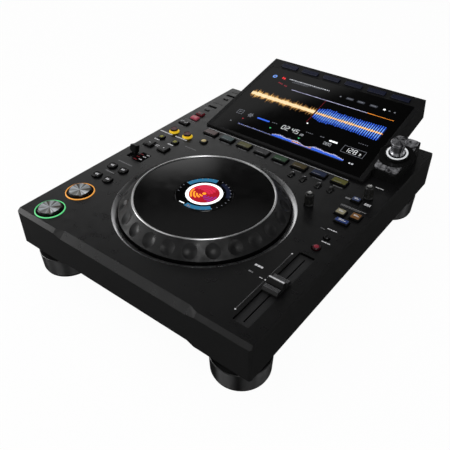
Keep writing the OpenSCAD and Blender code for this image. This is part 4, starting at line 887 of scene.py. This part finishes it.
def loop_cap(node):
    """The dark raised middle of a lit loop button."""
    sketch = Sketch(on(node), loop_dark)
    sketch.lathe([(0.05, -0.4), (5.6, -0.4), (5.6, 1.2), (5.1, 1.75), (4.3, 1.8), (3.6, 1.45), (0.05, 1.4)],
                 steps=64)
    sketch.use(loop_red).lathe([(0.05, 1.4), (3.5, 1.46), (3.3, 1.62), (0.05, 1.66)], steps=48)
    sketch.done(node + "_cap", node, "amber_button")


# ---- knobs, slider, lever
RIBS = 20
LEVER_LEAN = radians(-16.0)


def knob_grip(node, turn):
    """Ribs round the grip, and a small bright cap with a pointer."""
    sketch = Sketch(on(node), knob_rib)
    for i in range(RIBS):
        way = Vector((cos(i * tau / RIBS), sin(i * tau / RIBS)))
        for low, high, reach in ((-13.6, -8.0, 5.42), (-8.0, -2.6, 5.3)):
            sketch.bar(way * 4.7, way * reach, 0.55, low, high)
    sketch.use(knob_silver).lathe([(0.05, 0.0), (2.7, 0.0), (2.6, 0.2), (1.6, 0.34), (0.05, 0.4)], steps=48)
    tip = Vector((-sin(turn), cos(turn)))
    sketch.use(print_and_glint_white).bar(tip * 0.6, tip * 2.8, 0.8, 0.2, 0.45)
    sketch.done(node + "_grip", node, "knob_black")


def fader_trim():
    """The white line across the slider's cap and fine stripes beside it."""
    sketch = Sketch(on("fader_cap"), print_and_glint_white)
    half = size_of("fader_cap").x / 2
    sketch.box(-half + 0.2, -0.75, half - 0.2, 0.75, 0, PRINT)
    sketch.use(print_grey)
    for side in (-1, 1):
        sketch.box(-half + 0.2, side * 1.25 - 0.2, half - 0.2, side * 1.25 + 0.2, 0, PRINT)
        for y in (6.2, 7.5, 8.7, 9.9):
            sketch.box(-half + 0.1, side * y - 0.16, half - 0.1, side * y + 0.16, -4.8, -4.74)
    sketch.done("fader_line", "tempo_slider", "knob_black")


def lever_top():
    """A block on the tip of the lever, with a lighter grey pad on its top."""
    low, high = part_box("direction_lever")
    tip = DECK.inverted() @ Vector(((low.x + high.x) / 2, low.y, high.z))
    place = at(tip.x, tip.y + 9.2, tip.z - 0.85) @ Matrix.Rotation(LEVER_LEAN, 4, "X")
    sketch = Sketch(place, lever_dark)
    sketch.slab(rounded(11.2, 7.4, 1.4), -7.0, 0.7, 0.6)
    sketch.use(lever_top_grey).slab(rounded(8.0, 4.4, 0.8), 0.7, 0.82, 0.06)
    sketch.done("lever_cap", "direction_lever", "knob_black")


def selector_trim():
    """The bright ring round the selector and the dark dish about it."""
    sketch = Sketch(SELECTOR, rim_bright)
    sketch.lathe([(9.9, 3.4), (13.5, 3.4), (13.5, 3.5), (12.6, 3.75), (10.8, 3.75), (9.9, 3.5)], closed=True)
    sketch.use(ring_lit).hoop(10.7, 12.9, 3.75, 3.82)
    sketch.use(gloss_black).hoop(15.1, 21.6, 0, 0.3)
    sketch.done("selector_ring", "case", "bright_ring")


# ---- case details
JOG_STEPS = 144
FEET = ((-130.8, 32.5), (130.8, 32.5), (-130.8, 372.5), (130.8, 372.5))
RECESS_W = 18.0
# The rear panel: its face, the height of its sockets and their places, and the switch's pivot and tilt
REAR_FACE = 393.0
SOCKET_Z = -22.0
PHONO_X = (60.0, 78.0, 104.0)
INLET_X, SWITCH_X, LAN_X = -120.0, -82.0, 20.0
SWITCH_PIVOT = 5.0
SWITCH_TILT = radians(12.0)
BACKWARDS = Matrix.Rotation(radians(-90.0), 4, "X")


def bezel_face():
    """The polished dish of the bezel."""
    sketch = Sketch(DECK, bezel_silver)
    profile = ((99.35, -9.2), (99.35, -3.3), (99.8, -2.9), (104.9, -0.12), (105.4, 0.0), (105.44, -0.2),
               (100.4, -8.6))
    sketch.lathe(profile, middle_of("jog_bezel").xy, JOG_STEPS, True)
    sketch.done("bezel_face", "case", "bright_ring")


def foot_lips():
    """A polished lip on the top edge of each drum."""
    for i, (x, y) in enumerate(FEET, 1):
        sketch = Sketch(at(x, y), foot_lip)
        sketch.lathe([(31.3, -56.9), (32.28, -56.9), (32.28, -56.6), (32.0, -56.35), (31.3, -56.35)],
                     closed=True)
        sketch.done("foot_lip_%d" % i, "case", "foot_metal")


def jog_skirt():
    """Painted shade: a black sheet on the lower wall of the wheel's ring, seen over the gap round it."""
    middle, reach = middle_of("jog_ring"), size_of("jog_ring").x / 2
    sketch = Sketch(DECK, painted_shade_and_block_black)
    sketch.lathe([(reach + 0.01, -3.9), (reach + 0.08, -3.9), (reach + 0.08, 0.5), (reach + 0.01, 0.6)],
                 middle.xy, JOG_STEPS, True)
    sketch.done("jog_skirt", "jog_wheel", "jog_black")


def fader_walls_painted_shade():
    """Painted shade: a black lining on the walls of the slider's recess."""
    middle, size = middle_of("fader_unit"), size_of("fader_unit")
    sketch = Sketch(DECK, painted_shade_and_block_black)
    sketch.border(*middle.xy, RECESS_W, size.y - size.x + RECESS_W, 0.07, -2.4, -0.1)
    sketch.done("fader_walls_painted_shade", "case", "case_plastic")


def behind(x, z=SOCKET_Z):
    """A place on the rear panel: local Z points backwards and local Y points down."""
    return at(x, REAR_FACE, z) @ BACKWARDS


def rear_trim():
    """Plated sleeves, contacts and lamps of the sockets, and short marks under them."""
    for i, (x, paint) in enumerate(zip(PHONO_X, (print_and_glint_white, print_red, cap_dark)), 1):
        sketch = Sketch(behind(x), plated)
        sketch.lathe([(3.1, 8.9), (3.1, 9.04), (4.1, 9.04), (4.2, 8.9), (4.2, 1.02), (4.17, 1.02)], steps=48,
                     closed=True)
        sketch.lathe([(4.5, 1.01), (6.3, 1.01), (6.3, 1.25), (6.0, 1.45), (4.5, 1.45)], steps=48,
                     closed=True)
        sketch.use(paint).hoop(1.8, 3.05, 9.01, 9.06)
        sketch.done("phono_sleeve_%d" % i, "case", "socket_metal")
    sketch = Sketch(behind(LAN_X), plated)
    for k in range(8):
        sketch.box(-3.7 + k, -3.6, -3.3 + k, -3.0, -9.0, 0.6)
    sketch.frame(-9.9, -8.9, 9.9, 8.9, 0.5, 1.21, 1.35)
    sketch.ink("mint").box(-8.6, -8.0, -6.2, -6.4, 1.21, 1.4)
    sketch.ink("warm").box(6.2, -8.0, 8.6, -6.4, 1.21, 1.4)
    sketch.done("lan_contacts", "case", "socket_metal")
    sketch = Sketch(behind(INLET_X), plated)
    for x, y in ((-7.0, 2.0), (7.0, 2.0), (0.0, -2.5)):
        sketch.box(x - 1.03, y - 2.28, x + 1.03, y + 2.28, -17.9, -4.95)
    sketch.done("inlet_pins", "case", "socket_metal")
    sketch = Sketch(behind(0.0, 0.0), print_grey)
    for x in (INLET_X, SWITCH_X, LAN_X, *PHONO_X):
        sketch.words(x - 4.5, x + 4.5, 37.2, 1.4, 0, PRINT, 3)
    sketch.done("rear_marks", "case", "sheet_steel")
    pivot = at(SWITCH_X, REAR_FACE - SWITCH_PIVOT, SOCKET_Z) @ Matrix.Rotation(SWITCH_TILT, 4, "X")
    face = Matrix.Translation((0.0, 0.0, SWITCH_PIVOT + 0.62))
    sketch = Sketch(pivot @ BACKWARDS @ face, print_and_glint_white)
    sketch.box(-0.35, -6.2, 0.35, -3.2, 0, PRINT)
    sketch.hoop(1.2, 1.8, 0, PRINT, (0.0, 4.6), 32)
    sketch.done("switch_marks", "power_switch", "socket_black")


# ---- room
def emptied(holder):
    """The node tree of a world or material, with nothing in it."""
    holder.use_nodes = True
    nodes = Nodes(holder.node_tree)
    nodes.tree.nodes.clear()
    return nodes


def light_path(nodes, *names):
    """1 for the kinds of ray that are named, 0 for the rest."""
    path = nodes.node("LightPath")
    total = path.outputs[names[0]]
    for name in names[1:]:
        total = nodes.maths("MAXIMUM", total, path.outputs[name])
    return total


REFLECTED = ("Is Glossy Ray", "Is Transmission Ray")
# Each table gives the height of a direction (its Z) and how bright the studio is there. BACKDROP is a low
# band all round, WIDE a wide panel behind the player and NARROW a strip that the wheel's plate mirrors.
BACKDROP = ((0.0, 1.0), (0.12, 1.0), (0.22, 0.0), (1.0, 0.0))
WIDE = ((0.0, 0.8), (0.36, 0.9), (0.4, 1.5), (0.45, 1.3), (0.5, 0.03), (0.585, 0.01), (0.605, 0.12),
        (0.672, 0.12), (0.685, 0.35), (0.722, 0.35), (0.735, 0.03), (1.0, 0.01))
NARROW = ((0.0, 0.0), (0.42, 0.9), (0.515, 1.0), (0.533, 0.45), (0.545, 0.08), (0.56, 0.0), (1.0, 0.0))
# Azimuth of a panel, degrees that it reaches to each side, degrees at full strength, share beyond its reach
WIDE_SIDE = (140, 36, 5, 0.08)
NARROW_SIDE = (133.5, 6, 1, 0.0)
JUST_OVER_ONE = 1.0001


def by_height(nodes, height, levels):
    """How bright one band of the studio is at each height."""
    ramp = nodes.node("ValToRGB", {"Fac": height})
    stops = ramp.color_ramp.elements
    while len(stops) < len(levels):
        stops.new(0.5)
    for stop, (place, value) in zip(stops, levels):
        stop.position = place
        stop.color = (value, value, value, 1)
    return ramp.outputs["Color"]


def by_side(nodes, x, y, z, azimuth, reach, full, least):
    """1 towards a panel at that azimuth, and least where the direction is further than reach from it."""
    turn = radians(azimuth)
    toward = nodes.maths("ADD", nodes.maths("MULTIPLY", x, cos(turn)), nodes.maths("MULTIPLY", y, sin(turn)))
    flat = nodes.maths("SQRT", nodes.maths("SUBTRACT", JUST_OVER_ONE, nodes.maths("MULTIPLY", z, z)))
    return nodes.span(nodes.maths("DIVIDE", toward, flat), cos(radians(reach)), cos(radians(full)), least,
                      1.0, interpolation_type="SMOOTHSTEP")


def studio(nodes):
    """How bright the room is in each direction, for what mirrors it."""
    x, y, z = nodes.parts(nodes.node("TexCoord").outputs["Generated"])
    total = by_height(nodes, z, BACKDROP)
    for levels, side in ((WIDE, WIDE_SIDE), (NARROW, NARROW_SIDE)):
        panel = nodes.maths("MULTIPLY", by_height(nodes, z, levels), by_side(nodes, x, y, z, *side))
        total = nodes.maths("MAXIMUM", total, panel)
    return total


WHITE = (1, 1, 1, 1)
SOFT_LIGHT = 0.4


def world_light():
    world = bpy.data.worlds.new("studio")
    bpy.context.scene.world = world
    nodes = emptied(world)
    soft = nodes.node("Background", {"Color": WHITE, "Strength": SOFT_LIGHT})
    white = nodes.node("Background", {"Color": WHITE})
    seen = nodes.node("Background", {"Color": WHITE, "Strength": studio(nodes)})
    mirrored = nodes.mix_shader(light_path(nodes, *REFLECTED), soft, seen)
    looked = nodes.mix_shader(light_path(nodes, "Is Camera Ray"), mirrored, white)
    nodes.node("OutputWorld", {"Surface": looked.outputs[0]})


# How much of its white the floor shows the camera, how much of its light a mirror sees, and its size in
# metres and the gap under the feet
FLOOR_SEEN = 0.965
FLOOR_MIRRORED = 0.06
FLOOR_RADIUS = 9.0
FLOOR_DROP = 0.0001


def floor():
    material = bpy.data.materials.new("floor_white")
    nodes = emptied(material)
    matte = nodes.node("BsdfDiffuse", {"Color": (0.86, 0.86, 0.86, 1)})
    glow = nodes.node("Emission")
    dark = nodes.node("Emission", {"Strength": 0.0})
    mirrored = nodes.maths("MULTIPLY", light_path(nodes, *REFLECTED), 1 - FLOOR_MIRRORED)
    seen = nodes.maths("MULTIPLY", light_path(nodes, "Is Camera Ray"), FLOOR_SEEN)
    pick = nodes.mix_shader(seen, nodes.mix_shader(mirrored, matte, dark), glow)
    nodes.node("OutputMaterial", {"Surface": pick.outputs[0]})
    data = bpy.data.meshes.new("floor")
    grid = bmesh.new()
    bmesh.ops.create_circle(grid, cap_ends=True, segments=96, radius=FLOOR_RADIUS)
    grid.to_mesh(data)
    grid.free()
    data.materials.append(material)
    sheet = new_object("floor", data)
    sheet.location = (0, 0, cad_box[0].z - FLOOR_DROP)


AIM = Vector((0, 200, 0))
LAMPS = (
    # name, azimuth, elevation, distance and size in millimetres, power in watts, seen in mirrors
    ("lamp_left", 231, 34, 1500, (1200, 500), 1.6, True), ("lamp_low", 215, 8, 650, (300, 200), 0.6, True),
    ("lamp_front", 312, 50, 1500, (600, 400), 4, True), ("lamp_over", 170, 70, 1600, (1400, 1400), 8, False),
)


def lamp(name, azimuth, elevation, distance, size, power, mirrored):
    """A soft panel that looks at the middle of the player."""
    light = bpy.data.lights.new(name, "AREA")
    light.shape = "RECTANGLE"
    light.size, light.size_y = (s * MM for s in size)
    light.energy = power
    holder = new_object(name, light)
    turn, lift = radians(azimuth), radians(elevation)
    away = Vector((cos(turn) * cos(lift), sin(turn) * cos(lift), sin(lift)))
    holder.location = DECK @ (AIM + away * distance)
    holder.rotation_mode = "QUATERNION"
    holder.rotation_quaternion = away.to_track_quat("Z", "Y")
    holder.visible_glossy = mirrored


# ---- camera
CAMERA_PLACE = (335.29, -252.86, 374.72)
CAMERA_TURN = radians(38.1005)
CAMERA_LIFT = radians(38.2575)
CAMERA_ROLL = radians(-0.3327)
CAMERA_LENS = 44.40
SENSOR = 36.0


def camera():
    data = bpy.data.cameras.new("camera")
    data.sensor_width = SENSOR
    data.lens = CAMERA_LENS
    data.clip_start, data.clip_end = 0.01, 50
    holder = new_object("camera", data)
    matrix = (Matrix.Rotation(CAMERA_TURN, 4, "Z")
              @ Matrix.Rotation(radians(90.0) - CAMERA_LIFT, 4, "X")
              @ Matrix.Rotation(CAMERA_ROLL, 4, "Z"))
    matrix.translation = DECK @ Vector(CAMERA_PLACE)
    holder.matrix_world = matrix
    bpy.context.scene.camera = holder


# ---- everything in place
camera()
floor()
world_light()
for values in LAMPS:
    lamp(*values)
paint_nodes()
big_button("play_button", "green_button")
big_button("cue_button", "orange_button")
jog_screen()
main_screen()
deck_print()
lever_scale()
key_gap_painted_shade()
tiny_caps()
key_tops()
function_tops()
round_marks()
for name in ("loop_in_button", "loop_out_button"):
    loop_cap(name)
knob_grip("jog_feel_knob", 0.4)
knob_grip("brake_knob", -0.3)
fader_trim()
lever_top()
selector_trim()
foot_lips()
bezel_face()
jog_skirt()
fader_walls_painted_shade()
rear_trim()

bpy.context.scene.view_settings.view_transform = "Standard"
